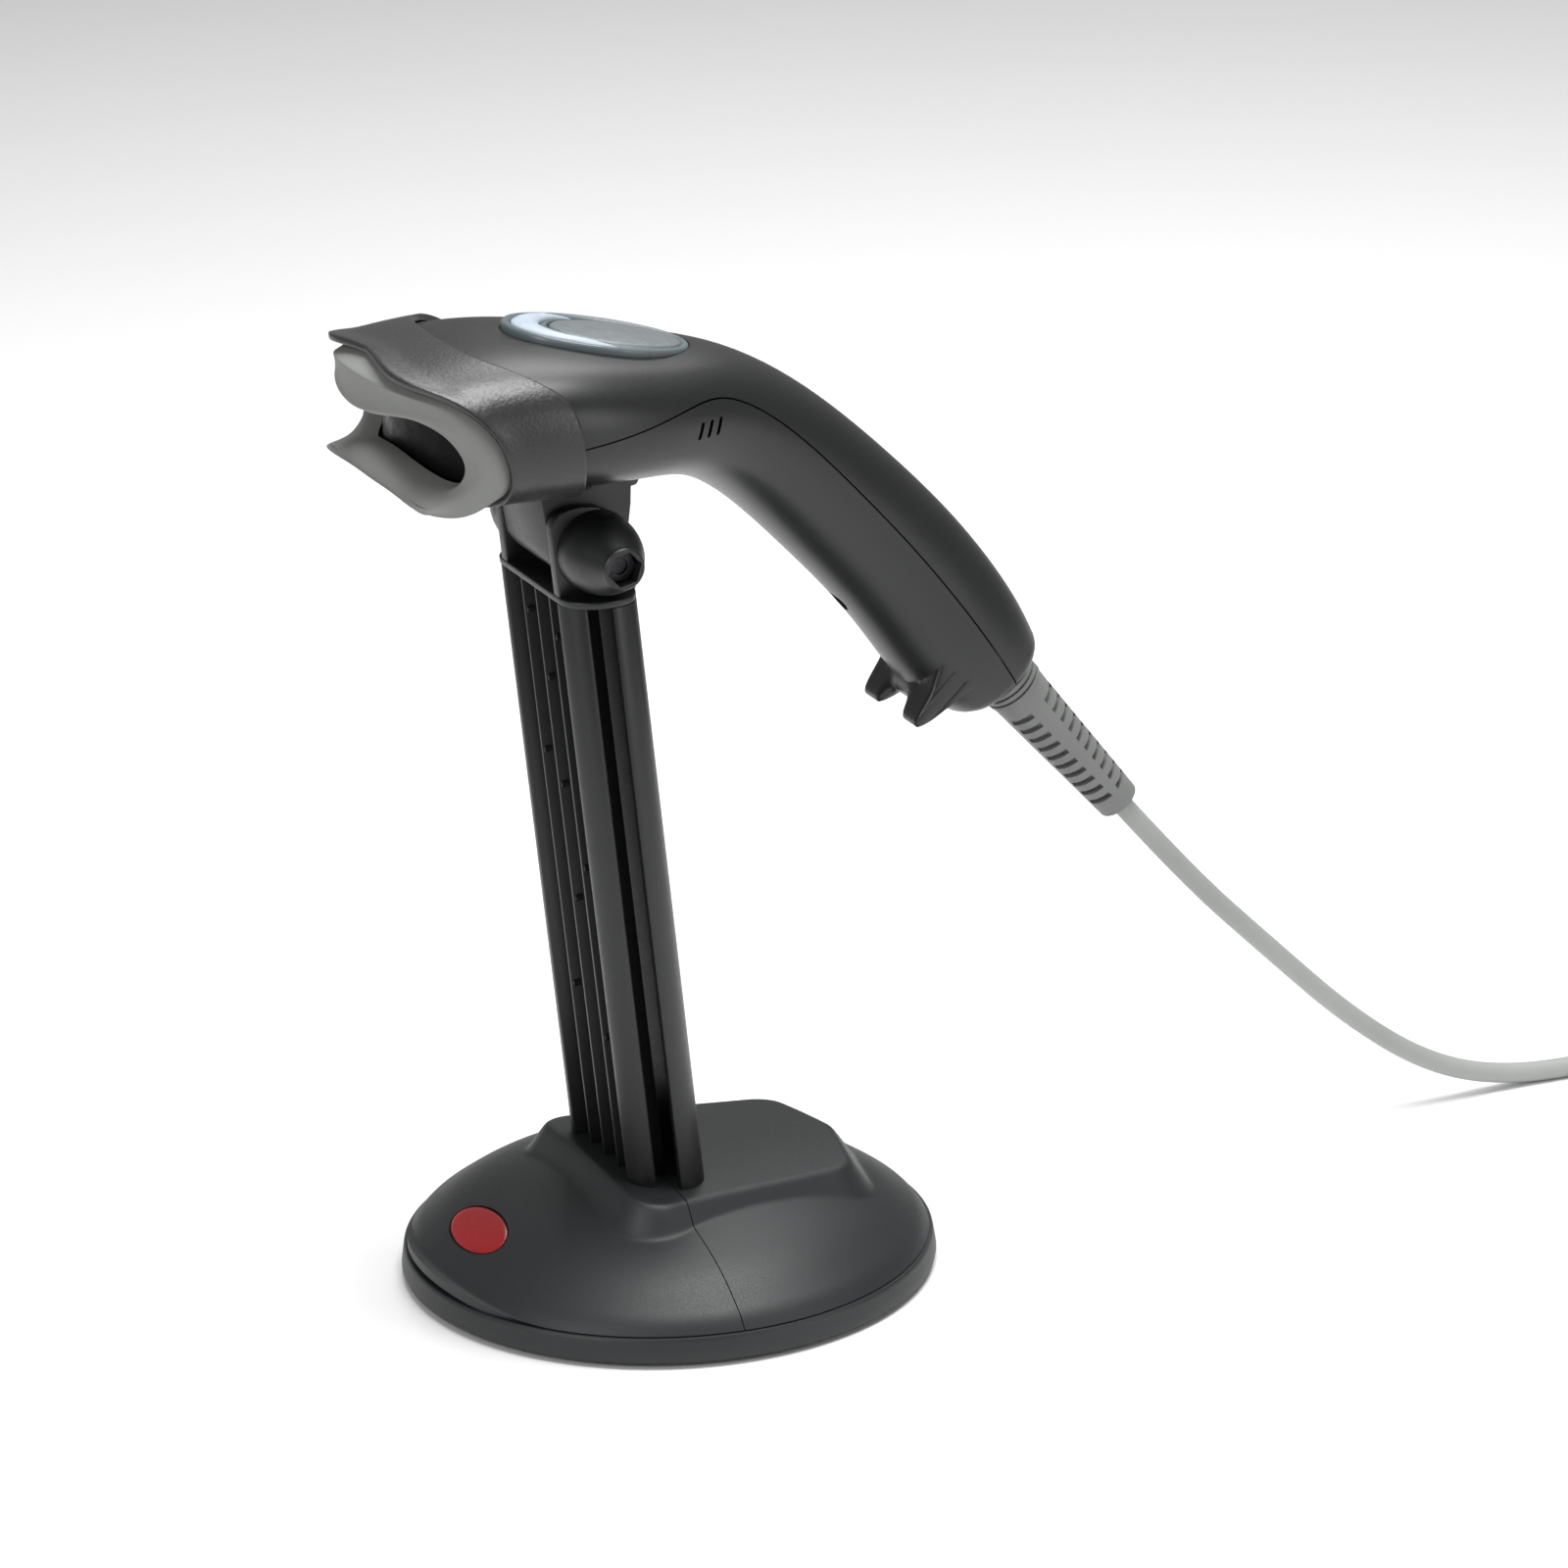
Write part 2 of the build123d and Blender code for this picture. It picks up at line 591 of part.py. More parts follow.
def pivot_dome(side):
    """A domed boss over one ear, with a hexagonal pocket in its tip."""
    turned = Plane(origin=(side * EAR_OUT, *PIVOT), x_dir=(0, 1, 0), z_dir=(side, 0, 0))
    with BuildPart() as dome:
        with BuildSketch(Plane(origin=turned.origin, x_dir=(side, 0, 0), z_dir=(0, 0, 1))):
            with BuildLine():
                Line((0, 0), (0, DOME_R))
                Bezier((0, DOME_R), (DOME_H * 0.42, DOME_R), (DOME_H * 0.78, DOME_R * 0.8), (DOME_H, 4.7))
                Line((DOME_H, 4.7), (DOME_H, 0))
                Line((DOME_H, 0), (0, 0))
            make_face()
        revolve(axis=Axis(turned.origin, (1, 0, 0)))
        with BuildSketch(turned.offset(DOME_H - POCKET_DEPTH)):
            RegularPolygon(HEX_AF / 2, 6, major_radius=False)
        extrude(amount=POCKET_DEPTH + 1, mode=Mode.SUBTRACT)
        add(disc(turned.offset(-1), BOLT_R + 0.1, 30), mode=Mode.SUBTRACT)
    return dome


pivot_dome_left = pivot_dome(1)
pivot_dome_right = pivot_dome(-1)

with BuildPart() as pivot_bolt:
    head_x = EAR_OUT + DOME_H - POCKET_DEPTH + NUT_T
    add(disc(across(-head_x + 0.8), BOLT_R, 2 * head_x - 1.4))
    with BuildSketch(across(-head_x)):
        RegularPolygon(HEX_AF / 2 - 0.1, 6, major_radius=False)
    extrude(amount=NUT_T - 0.1)

with BuildPart() as pivot_nut:
    with BuildSketch(across(EAR_OUT + DOME_H - POCKET_DEPTH + 0.1)):
        RegularPolygon(HEX_AF / 2 - 0.1, 6, major_radius=False)
    extrude(amount=NUT_T - 0.1)
    add(disc(across(20), BOLT_R, 30), mode=Mode.SUBTRACT)

# ==== stand post ================================================================
lean = math.tan(math.radians(POST_LEAN))
POST_H = POST_TOP_Z - POST_FOOT_Z


def foot_plane(z=POST_FOOT_Z):
    """A level plane whose origin follows the leaning front face of the post."""
    return Plane(origin=(0, POST_FRONT_Y - (z - POST_FOOT_Z) * lean, z), x_dir=(1, 0, 0))


LEANING = Vector(0, -lean, 1.0).normalized()


def climb(height):
    return height / math.cos(math.radians(POST_LEAN))


FRONT_DEPTH = 9.6
# One side flange of the front moulding in plan: out from its corner, and back.
FLANGE = [
    (0, 0), (2.4, 0.8), (4.2, 2.3), (5.0, 4.2), (3.4, 4.6), (1.4, 3.2), (0, 2.8),
    (-0.6, FRONT_DEPTH), (-2.0, FRONT_DEPTH), (-1.5, 0), (0, 0),
]

with BuildPart() as post_front:
    with BuildSketch(foot_plane()):
        with Locations((0, FRONT_DEPTH - 0.8)):
            Rectangle(2 * POST_HALF_X - 1.4, 1.6)
        for side in (-1, 1):
            with BuildLine():
                Polyline(*[(side * (POST_HALF_X + x), y) for x, y in FLANGE])
            make_face()
        with Locations(*[(x, FRONT_DEPTH / 2 + 0.3) for x in (-8, 0, 8)]):
            Rectangle(1.1, FRONT_DEPTH - 1.2)
        with Locations((0, FRONT_DEPTH + 3.0)):
            Rectangle(12, 6.0)
    extrude(amount=climb(POST_H - CAP_T), dir=LEANING)

REAR_HALF_X = 24.5
POST_DEPTH = 18.2


def rear_outline(inset):
    """The post's rounded back in plan, open to the front."""
    x0 = REAR_HALF_X - inset
    y1 = POST_DEPTH - inset
    Bezier((x0, 9.6), (x0 + 0.3, 13.0), (x0 - 2.5, y1), (x0 - 9.0, y1))
    Line((x0 - 9.0, y1), (-x0 + 9.0, y1))
    Bezier((-x0 + 9.0, y1), (-x0 + 2.5, y1), (-x0 - 0.3, 13.0), (-x0, 9.6))


with BuildPart() as post_rear:
    with BuildSketch(foot_plane()):
        with BuildLine():
            rear_outline(0)
            Line((-REAR_HALF_X, 9.6), (REAR_HALF_X, 9.6))
        make_face()
        with BuildLine():
            rear_outline(2.0)
            Line((-REAR_HALF_X + 2.0, 9.6), (REAR_HALF_X - 2.0, 9.6))
        make_face(mode=Mode.SUBTRACT)
        for x in (-6.6, 6.6):
            with Locations((x, 13.6)):
                Rectangle(1.2, 5.8)
    extrude(amount=climb(POST_H - CAP_T), dir=LEANING)

with BuildPart() as post_cap:
    with BuildSketch(foot_plane(POST_TOP_Z - CAP_T)):
        with BuildLine():
            rear_outline(0)
            Bezier((-REAR_HALF_X, 9.6), (-REAR_HALF_X, 4.0), (-20, 0), (-POST_HALF_X, 0))
            Line((-POST_HALF_X, 0), (POST_HALF_X, 0))
            Bezier((POST_HALF_X, 0), (20, 0), (REAR_HALF_X, 4.0), (REAR_HALF_X, 9.6))
        make_face()
    extrude(amount=climb(CAP_T), dir=LEANING)
    for x in (EAR_IN, -EAR_OUT):
        with BuildSketch(side_plane(x)):
            with BuildLine():
                Polyline((-28.6, POST_TOP_Z - 1), (-29.8, 188.0), (-27.6, 191.2), (-22.5, 192.2),
                         (-15.5, 190.0))
                Polyline((-15.5, 190.0), (-10.4, 184.0), (-10.0, POST_TOP_Z - 1), (-28.6, POST_TOP_Z - 1))
            make_face()
        extrude(amount=EAR_OUT - EAR_IN)
    cap_clear = Plane(origin=(-EAR_IN, *PIVOT), x_dir=(0, 1, 0), z_dir=(1, 0, 0))
    add(disc(cap_clear, DOME_R + 0.1, 2 * EAR_IN), mode=Mode.SUBTRACT)
    add(disc(bolt_line, BOLT_R + 0.1, 120), mode=Mode.SUBTRACT)

# ==== stand base ================================================================
BASE_R = BASE_D / 2


def dome_profile(drop):
    """Half of the base cover's section, lowered or thinned by drop."""
    Spline(
        (BASE_R - 1.6 - drop, RIM_H), (56.6 - drop * 0.8, 12.0 - drop * 0.6),
        (51.0 - drop * 0.4, 15.8 - drop),
        (43.0, 19.6 - drop), (33.0, 22.6 - drop), (18.0, 25.2 - drop), (0, 26.0 - drop),
        tangents=[(-0.55, 0.83), (-1, 0)],
    )


def dome_solid(drop):
    with BuildPart() as dome:
        with BuildSketch(Plane.XZ):
            with BuildLine():
                dome_profile(drop)
                Polyline((0, 26.0 - drop), (0, RIM_H), (BASE_R - 1.6 - drop, RIM_H))
            make_face()
        revolve(axis=Axis.Z)
    return dome.part


def platform_outline(grow):
    front_x, front_y = PLATFORM_FRONT
    back_x, back_y = PLATFORM_BACK
    Polygon((-front_x - grow, front_y - grow), (front_x + grow, front_y - grow),
            (back_x + grow, back_y + grow), (0, PLATFORM_END_Y + grow),
            (-back_x - grow, back_y + grow), align=None)


def platform(inset):
    """The raised platform around the post's foot, with sloping flanks."""
    fall = math.radians(PLATFORM_FALL)
    with BuildPart() as body:
        for z, grow in ((14.0, 6.5), (42.0, -6.5)):
            with BuildSketch(Plane.XY.offset(z)) as level:
                platform_outline(grow - inset)
                fillet(level.vertices(), 8.5)
        loft()
        along = Plane(origin=(0, -14, 0), x_dir=(-1, 0, 0), z_dir=(0, math.cos(fall), -math.sin(fall)))
        with BuildSketch(along.offset(-70)):
            with BuildLine():
                side_z = PLATFORM_TOP - inset - 6.3
                crown = ThreePointArc((-60, side_z), (0, PLATFORM_TOP - inset), (60, side_z))
                Polyline(crown @ 1, (60, -40), (-60, -40), crown @ 0)
            make_face()
        extrude(amount=170, mode=Mode.INTERSECT)
    return body.part


cover_form = dome_solid(0) + platform(0)
cover_hollow = dome_solid(WALL) + platform(WALL)


BADGE_TILT = 27.0
turn = math.radians(BADGE_TILT)
badge_plane = Plane(origin=(0, -47.9, 17.75), x_dir=(1, 0, 0), z_dir=(0, -math.sin(turn), math.cos(turn)))

with BuildPart() as badge:
    with BuildSketch(badge_plane.offset(-1.3)):
        Ellipse(8.2, 7.0)
    extrude(amount=1.0)

with BuildPart() as boss_group:
    with BuildSketch(Plane.XY.offset(8.4)):
        with PolarLocations(53.0, 3, start_angle=90):
            Circle(3.4)
            Circle(1.5, mode=Mode.SUBTRACT)
    extrude(amount=10)
    add(dome_solid(0.4), mode=Mode.INTERSECT)
cover_bosses = boss_group.part

front_space = block((-80, 80), (-80, SEAM_Y - 0.12), (-5, 60))
back_space = block((-80, 80), (SEAM_Y + 0.12, 80), (-5, 60))

with BuildPart() as base_cover_front:
    add(cover_form)
    add(cover_hollow, mode=Mode.SUBTRACT)
    with BuildSketch(badge_plane.offset(-1.3)):
        Ellipse(8.4, 7.2)
    extrude(amount=6, mode=Mode.SUBTRACT)
    add(cover_bosses)
    add(post_front.part, mode=Mode.SUBTRACT)
    add(post_rear.part, mode=Mode.SUBTRACT)
    add(front_space, mode=Mode.INTERSECT)

with BuildPart() as base_cover_rear:
    add(cover_form)
    add(cover_hollow, mode=Mode.SUBTRACT)
    add(cover_bosses)
    add(post_front.part, mode=Mode.SUBTRACT)
    add(post_rear.part, mode=Mode.SUBTRACT)
    add(back_space, mode=Mode.INTERSECT)


def largest_piece(builder):
    """The cover without the slivers that the post's feet cut free."""
    with BuildPart() as kept:
        add(builder.part.solids().sort_by(SortBy.VOLUME)[-1])
    return kept


base_cover_front = largest_piece(base_cover_front)
base_cover_rear = largest_piece(base_cover_rear)

with BuildPart() as base_plate:
    with BuildSketch(Plane.XY.offset(PAD_PROUD)):
        Circle(BASE_R)
    with BuildSketch(Plane.XY.offset(RIM_H - 0.2)):
        Circle(BASE_R - 1.0)
    loft()
    with BuildSketch(Plane.XY.offset(PAD_PROUD + 2.4)):
        Circle(BASE_R - 3.5)
    extrude(amount=10, mode=Mode.SUBTRACT)
    with BuildSketch(Plane.XY.offset(PAD_PROUD)):
        Circle(PAD_D / 2 + 0.3)
    extrude(amount=0.8, mode=Mode.SUBTRACT)
    with BuildSketch(Plane.XY.offset(PAD_PROUD + 2.4)):
        with PolarLocations(53.0, 3, start_angle=90):
            Circle(3.4)
    extrude(amount=5.0)
    with BuildSketch(Plane.XY):
        with PolarLocations(53.0, 3, start_angle=90):
            Circle(1.6)
    extrude(amount=10, mode=Mode.SUBTRACT)

with BuildPart() as grip_pad:
    with BuildSketch(Plane.XY):
        Circle(PAD_D / 2)
    extrude(amount=PAD_PROUD + 0.8)

with BuildPart() as ballast_weight:
    with BuildSketch(Plane.XY.offset(PAD_PROUD + 2.4)):
        Circle(44.0)
    extrude(amount=7.0)

with BuildPart() as base_screws:
    with BuildSketch(Plane.XY.offset(PAD_PROUD + 0.1)):
        with PolarLocations(53.0, 3, start_angle=90):
            Circle(1.45)
    extrude(amount=9.4)

pieces = {
    "base_plate": base_plate, "grip_pad": grip_pad, "ballast_weight": ballast_weight,
    "base_cover_front": base_cover_front, "base_cover_rear": base_cover_rear, "badge": badge,
    "base_screws": base_screws, "post_front": post_front, "post_rear": post_rear, "post_cap": post_cap,
    "pivot_dome_left": pivot_dome_left, "pivot_dome_right": pivot_dome_right,
    "pivot_bolt": pivot_bolt, "pivot_nut": pivot_nut, "holder_cup": holder_cup,
    "upper_shell": upper_shell, "lower_shell": lower_shell, "shell_screw": shell_screw,
    "nose_bumper": nose_bumper, "window_pane": window_pane, "button_ring": button_ring,
    "light_crescent": light_crescent, "trigger_button": trigger_button, "main_board": main_board,
    "engine_chassis": engine_chassis, "laser_module": laser_module, "mirror_motor": mirror_motor,
    "scan_mirror": scan_mirror, "collector_mirror": collector_mirror, "photo_board": photo_board,
    "trigger_switch": trigger_switch, "buzzer": buzzer, "indicator_leds": indicator_leds,
    "cable_connector": cable_connector, "strain_relief": strain_relief, "cord": cord,
    "cord_coil": tied_coil, "cord_tail": cord_tail, "plug_relief": plug_relief,
    "plug_body": plug_body, "plug_shell": plug_shell, "plug_tongue": plug_tongue, "coil_tie": coil_tie,
}
for name, builder in pieces.items():
    write(builder, name)
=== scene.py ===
import json
import math

import bmesh
import bpy
import numpy as np
from mathutils import Matrix, Vector


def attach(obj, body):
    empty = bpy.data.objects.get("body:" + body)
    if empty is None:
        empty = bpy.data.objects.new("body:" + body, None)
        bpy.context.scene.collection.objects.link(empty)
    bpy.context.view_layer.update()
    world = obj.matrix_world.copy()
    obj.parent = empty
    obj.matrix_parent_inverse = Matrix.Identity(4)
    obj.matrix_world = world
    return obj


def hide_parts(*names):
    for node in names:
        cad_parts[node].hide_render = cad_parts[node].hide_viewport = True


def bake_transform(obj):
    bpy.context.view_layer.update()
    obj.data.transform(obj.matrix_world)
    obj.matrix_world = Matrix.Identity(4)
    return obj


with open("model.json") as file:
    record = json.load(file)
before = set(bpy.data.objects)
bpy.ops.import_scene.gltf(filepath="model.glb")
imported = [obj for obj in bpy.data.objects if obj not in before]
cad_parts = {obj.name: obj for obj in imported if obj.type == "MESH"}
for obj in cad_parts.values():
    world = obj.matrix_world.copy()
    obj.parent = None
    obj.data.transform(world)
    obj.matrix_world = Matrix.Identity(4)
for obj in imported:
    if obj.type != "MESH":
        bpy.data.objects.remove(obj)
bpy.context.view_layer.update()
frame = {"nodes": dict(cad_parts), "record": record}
NODES = frame["nodes"]
MM = 0.001

# ---- camera ---------------------------------------------------------------------
CAMERA_AZIMUTH = 65.6
CAMERA_ELEVATION = 19.77
CAMERA_ROLL = 1.457
CAMERA_DISTANCE = 1.6046          # from the origin, along the view
VIEW_RIGHT = 0.02681              # how far the view's centre lies right of the origin
VIEW_UP = 0.11097                 # and above it
LENS_MM = 157.5


def add_camera():
    az, el, roll = (math.radians(a) for a in (CAMERA_AZIMUTH, CAMERA_ELEVATION, CAMERA_ROLL))
    back = Vector((math.sin(az) * math.cos(el), -math.cos(az) * math.cos(el), math.sin(el)))
    level = Vector((math.cos(az), math.sin(az), 0))
    upright = back.cross(level)
    right = level * math.cos(roll) - upright * math.sin(roll)
    up = level * math.sin(roll) + upright * math.cos(roll)
    camera = bpy.data.objects.new("camera", bpy.data.cameras.new("camera"))
    camera.data.lens = LENS_MM
    camera.data.clip_end = 20
    place = Matrix((right, up, back)).transposed().to_4x4()
    place.translation = right * VIEW_RIGHT + up * VIEW_UP + back * CAMERA_DISTANCE
    camera.matrix_world = place
    bpy.context.scene.collection.objects.link(camera)
    bpy.context.scene.camera = camera


# ---- materials ------------------------------------------------------------------
def new_material(name):
    material = bpy.data.materials.new(name)
    material.use_nodes = True
    return material, material.node_tree, material.node_tree.nodes["Principled BSDF"]


def add_node(tree, kind, **inputs):
    node = tree.nodes.new(kind)
    for key, value in inputs.items():
        node.inputs[key.replace("_", " ")].default_value = value
    return node


def noise(tree, scale, detail=3.0, roughness=0.5):
    coords = tree.nodes.new("ShaderNodeTexCoord")
    texture = add_node(tree, "ShaderNodeTexNoise", Scale=scale, Detail=detail, Roughness=roughness)
    tree.links.new(coords.outputs["Object"], texture.inputs["Vector"])
    return texture.outputs["Fac"]


def ramp(tree, source, low, high):
    """The usual span of a noise carried over to low and high."""
    node = add_node(tree, "ShaderNodeMapRange", From_Min=0.3, From_Max=0.7, To_Min=low, To_Max=high)
    tree.links.new(source, node.inputs["Value"])
    return node.outputs["Result"]


def tint(tree, shader, source, dark, light):
    """Base colour that wanders between two close colours."""
    mix = tree.nodes.new("ShaderNodeMix")
    mix.data_type = "RGBA"
    mix.inputs["A"].default_value = (*dark, 1)
    mix.inputs["B"].default_value = (*light, 1)
    tree.links.new(source, mix.inputs["Factor"])
    tree.links.new(mix.outputs["Result"], shader.inputs["Base Color"])


def bump(tree, shader, source, strength, distance):
    node = add_node(tree, "ShaderNodeBump", Strength=strength, Distance=distance)
    tree.links.new(source, node.inputs["Height"])
    tree.links.new(node.outputs["Normal"], shader.inputs["Normal"])


COLOUR_SPREAD = 0.12      # share by which a moulding's colour varies
ROUGH_SPREAD = 0.06
SCRATCH_SCALE = 900.0


def moulded(name, colour, roughness, grain_scale, grain_strength, grain_depth=0.00006,
            specular=0.5):
    """Moulded plastic or rubber: a fine grain, and colour and gloss that vary slowly."""
    material, tree, shader = new_material(name)
    slow = noise(tree, 55.0, 2.0)
    fine = noise(tree, grain_scale, 2.0, 0.6)
    tint(tree, shader, slow, [c * (1 - COLOUR_SPREAD) for c in colour],
         [c * (1 + COLOUR_SPREAD) for c in colour])
    tree.links.new(ramp(tree, fine, roughness - ROUGH_SPREAD, roughness + ROUGH_SPREAD),
                   shader.inputs["Roughness"])
    bump(tree, shader, fine, grain_strength, grain_depth)
    shader.inputs["Specular IOR Level"].default_value = specular
    return material


def polished(name, colour, roughness, specular=0.5, coat=0.0):
    """Clear or glossy plastic with faint waviness."""
    material, tree, shader = new_material(name)
    slow = noise(tree, 40.0, 2.0)
    tint(tree, shader, slow, [c * 0.94 for c in colour], [min(1, c * 1.05) for c in colour])
    tree.links.new(ramp(tree, noise(tree, 300.0), roughness * 0.7, roughness * 1.3),
                   shader.inputs["Roughness"])
    shader.inputs["Coat Weight"].default_value = coat
    shader.inputs["Coat Roughness"].default_value = 0.05
    shader.inputs["Specular IOR Level"].default_value = specular
    return material


def metal(name, colour, roughness):
    material, tree, shader = new_material(name)
    grain = noise(tree, SCRATCH_SCALE, 4.0)
    tint(tree, shader, grain, [c * 0.85 for c in colour], colour)
    tree.links.new(ramp(tree, grain, roughness * 0.7, roughness * 1.4), shader.inputs["Roughness"])
    bump(tree, shader, grain, 0.15, 0.00003)
    shader.inputs["Metallic"].default_value = 1.0
    return material


# Each look: its maker, colour, roughness, and whatever else that maker takes, in order.
LOOKS = {
    "base_plastic": (moulded, (0.012, 0.0135, 0.0145), 0.50, 2600, 0.22),
    "holder_smooth": (moulded, (0.010, 0.010, 0.011), 0.42, 1900, 0.08),
    "post_plastic": (moulded, (0.006, 0.0065, 0.007), 0.40, 1800, 0.06),
    "holder_plastic": (moulded, (0.020, 0.020, 0.021), 0.34, 1150, 0.5, 0.00016),
    "shell_plastic": (moulded, (0.008, 0.0085, 0.009), 0.36, 2400, 0.08),
    "bumper_rubber": (moulded, (0.20, 0.205, 0.195), 0.62, 2200, 0.10, 0.00006, 0.3),
    "window_dark": (polished, (0.003, 0.003, 0.003), 0.35, 0.08),
    "ring_clear": (polished, (0.10, 0.12, 0.13), 0.30, 0.35),
    "light_guide": (polished, (0.36, 0.41, 0.47), 0.40, 0.3),
    "button_clear": (polished, (0.13, 0.145, 0.15), 0.34, 0.35),
    "badge_red": (polished, (0.30, 0.005, 0.008), 0.30, 0.5, 0.2),
    "pad_rubber": (moulded, (0.02, 0.02, 0.02), 0.85, 1500, 0.4),
    "steel": (metal, (0.05, 0.05, 0.055), 0.45),
    "circuit_board": (moulded, (0.012, 0.11, 0.05), 0.4, 900, 0.1),
    "chassis_plastic": (moulded, (0.04, 0.04, 0.04), 0.55, 1500, 0.2),
    "brass": (metal, (0.72, 0.55, 0.25), 0.28),
    "motor_metal": (metal, (0.6, 0.6, 0.62), 0.25),
    "mirror_glass": (metal, (0.92, 0.92, 0.94), 0.03),
    "connector_white": (moulded, (0.75, 0.74, 0.70), 0.5, 1500, 0.1),
    "relief_grey": (moulded, (0.17, 0.175, 0.17), 0.55, 2400, 0.15),
    "cord_grey": (moulded, (0.30, 0.31, 0.30), 0.48, 2200, 0.08),
    "plug_grey": (moulded, (0.30, 0.31, 0.30), 0.5, 2000, 0.2),
    "plug_metal": (metal, (0.75, 0.75, 0.76), 0.2),
    "tie_black": (moulded, (0.02, 0.02, 0.02), 0.45, 1500, 0.2),
}
MATERIALS = {name: maker(name, *values) for name, (maker, *values) in LOOKS.items()}
# Each node in the record, and the material slot it belongs to.
SLOT_OF = {row["node"]: row["material_slot"] for row in frame["record"]["subparts"]}


def finish_cad_nodes():
    """Every CAD node gets its slot's procedural material."""
    for name, node in NODES.items():
        node.data.materials.clear()
        node.data.materials.append(MATERIALS[SLOT_OF[name]])


# ---- the scanner's form -----------------------------------------------------------
# Sections along the spine: Y, Z, pitch, half width, height above and below, squareness.
SPINE = np.array([
    (-80.0, 214.5, 5.0, 30.5, 12.0, 11.5, 0.74),
    (-60.0, 213.2, 5.0, 33.6, 15.6, 13.6, 0.76),
    (-42.0, 212.8, 5.0, 34.4, 17.2, 15.0, 0.76),
    (-24.0, 211.6, 8.0, 33.6, 16.8, 15.0, 0.74),
    (-5.0, 209.4, 15.0, 29.5, 15.4, 14.8, 0.68),
    (12.0, 205.4, 27.0, 23.5, 15.6, 14.4, 0.63),
    (29.0, 195.6, 41.0, 19.4, 15.6, 15.0, 0.60),
    (47.0, 179.2, 48.5, 17.2, 15.8, 16.2, 0.58),
    (64.0, 159.8, 51.0, 16.4, 16.4, 16.6, 0.58),
    (76.8, 141.5, 51.5, 16.2, 16.4, 16.2, 0.60),
    (85.7, 130.6, 50.5, 14.4, 13.0, 12.0, 0.62),
])
SPINE_END = len(SPINE) - 1
PART_LINE = np.array([
    (-110, 207.5), (-28, 210.8), (-12, 212.4), (0, 214.3), (9, 214.4), (17, 211.2),
    (25, 205.6), (35, 196.4), (46, 184.6), (57, 172.0), (68, 158.0), (78, 143.8),
    (87, 129.8), (105, 101.0),
])
HALF_GAP = 0.18
SHELL_T = 1.8
FRONT_R = 50.0            # plan radius of the housing's front, about this Y
FRONT_CENTRE_Y = -11.0
HANDLE_PITCH = 50.5
HALVINGS = 36


class Smooth:
    """A natural cubic spline through rows of values, one row for each place."""

    def __init__(self, places, rows):
        self.x = np.asarray(places, float)
        self.y = np.asarray(rows, float).reshape(len(self.x), -1)
        step = np.diff(self.x)
        count = len(self.x)
        left = np.eye(count)
        right = np.zeros_like(self.y)
        for i in range(1, count - 1):
            left[i, i - 1:i + 2] = step[i - 1], 2 * (step[i - 1] + step[i]), step[i]
            before = (self.y[i] - self.y[i - 1]) / step[i - 1]
            after = (self.y[i + 1] - self.y[i]) / step[i]
            right[i] = 6 * (after - before)
        self.m = np.linalg.solve(left, right)

    def __call__(self, at):
        at = np.asarray(at, float)
        i = np.clip(np.searchsorted(self.x, at) - 1, 0, len(self.x) - 2)
        h = self.x[i + 1] - self.x[i]
        p = ((self.x[i + 1] - at) / h)[..., None]
        q = ((at - self.x[i]) / h)[..., None]
        h = h[..., None]
        bend = (p ** 3 - p) * self.m[i] + (q ** 3 - q) * self.m[i + 1]
        return p * self.y[i] + q * self.y[i + 1] + bend * h * h / 6


spine_at = Smooth(range(len(SPINE)), SPINE)
part_z = Smooth(PART_LINE[:, 0], PART_LINE[:, 1])


def section(u, v, grow=0.0):
    """Outline places v (0 right, 1 top, 2 left, 3 bottom) around the section at u."""
    u, v, grow = np.broadcast_arrays(np.asarray(u, float), np.asarray(v, float), grow)
    row = spine_at(u)
    k = row[..., 6]
    v = np.mod(v, 4.0)
    quarter = np.minimum(v.astype(int), 3)
    part = v - quarter
    t = np.where(quarter % 2 == 0, part, 1 - part)
    s = 1 - t
    side = np.where((quarter == 1) | (quarter == 2), -1.0, 1.0)
    tall = np.where(quarter < 2, row[..., 4] + grow, -row[..., 5] - grow)
    x = side * (row[..., 3] + grow) * (s ** 3 + 3 * s * s * t + 3 * s * t * t * k)
    h = tall * (3 * s * s * t * k + 3 * s * t * t + t ** 3)
    return x, h, row


def placed(x, h, row):
    turn = np.radians(row[..., 2])
    return np.stack([x, row[..., 0] + h * np.sin(turn), row[..., 1] + h * np.cos(turn)], -1)


def form_point(u, v, grow=0.0):
    return placed(*section(u, v, grow))


def bisect(f, low, high):
    """Where f turns positive between low and high, elementwise."""
    low, high = (np.array(a, float) for a in np.broadcast_arrays(low, high))
    for _ in range(HALVINGS):
        middle = (low + high) / 2
        past = f(middle) > 0
        high = np.where(past, middle, high)
        low = np.where(past, low, middle)
    return (low + high) / 2


def seam_place(u, shift):
    """Outline place on the right side where the shells' parting line crosses it."""
    def over(v):
        point = form_point(u, v)
        y = point[..., 1]
        slope = part_z(y + 0.5)[..., 0] - part_z(y - 0.5)[..., 0]
        return point[..., 2] - part_z(y)[..., 0] - shift * np.sqrt(1 + slope ** 2)
    return bisect(over, np.full(np.shape(u), -0.9), np.full(np.shape(u), 0.95))


def front_place(v):
    """Spine place where the outline place v meets the rounded front."""
    def inside(u):
        point = form_point(u, v)
        return FRONT_R - np.hypot(point[..., 0], np.minimum(point[..., 1] - FRONT_CENTRE_Y, 0))
    return bisect(inside, np.zeros(np.shape(v)), np.full(np.shape(v), 3.0))


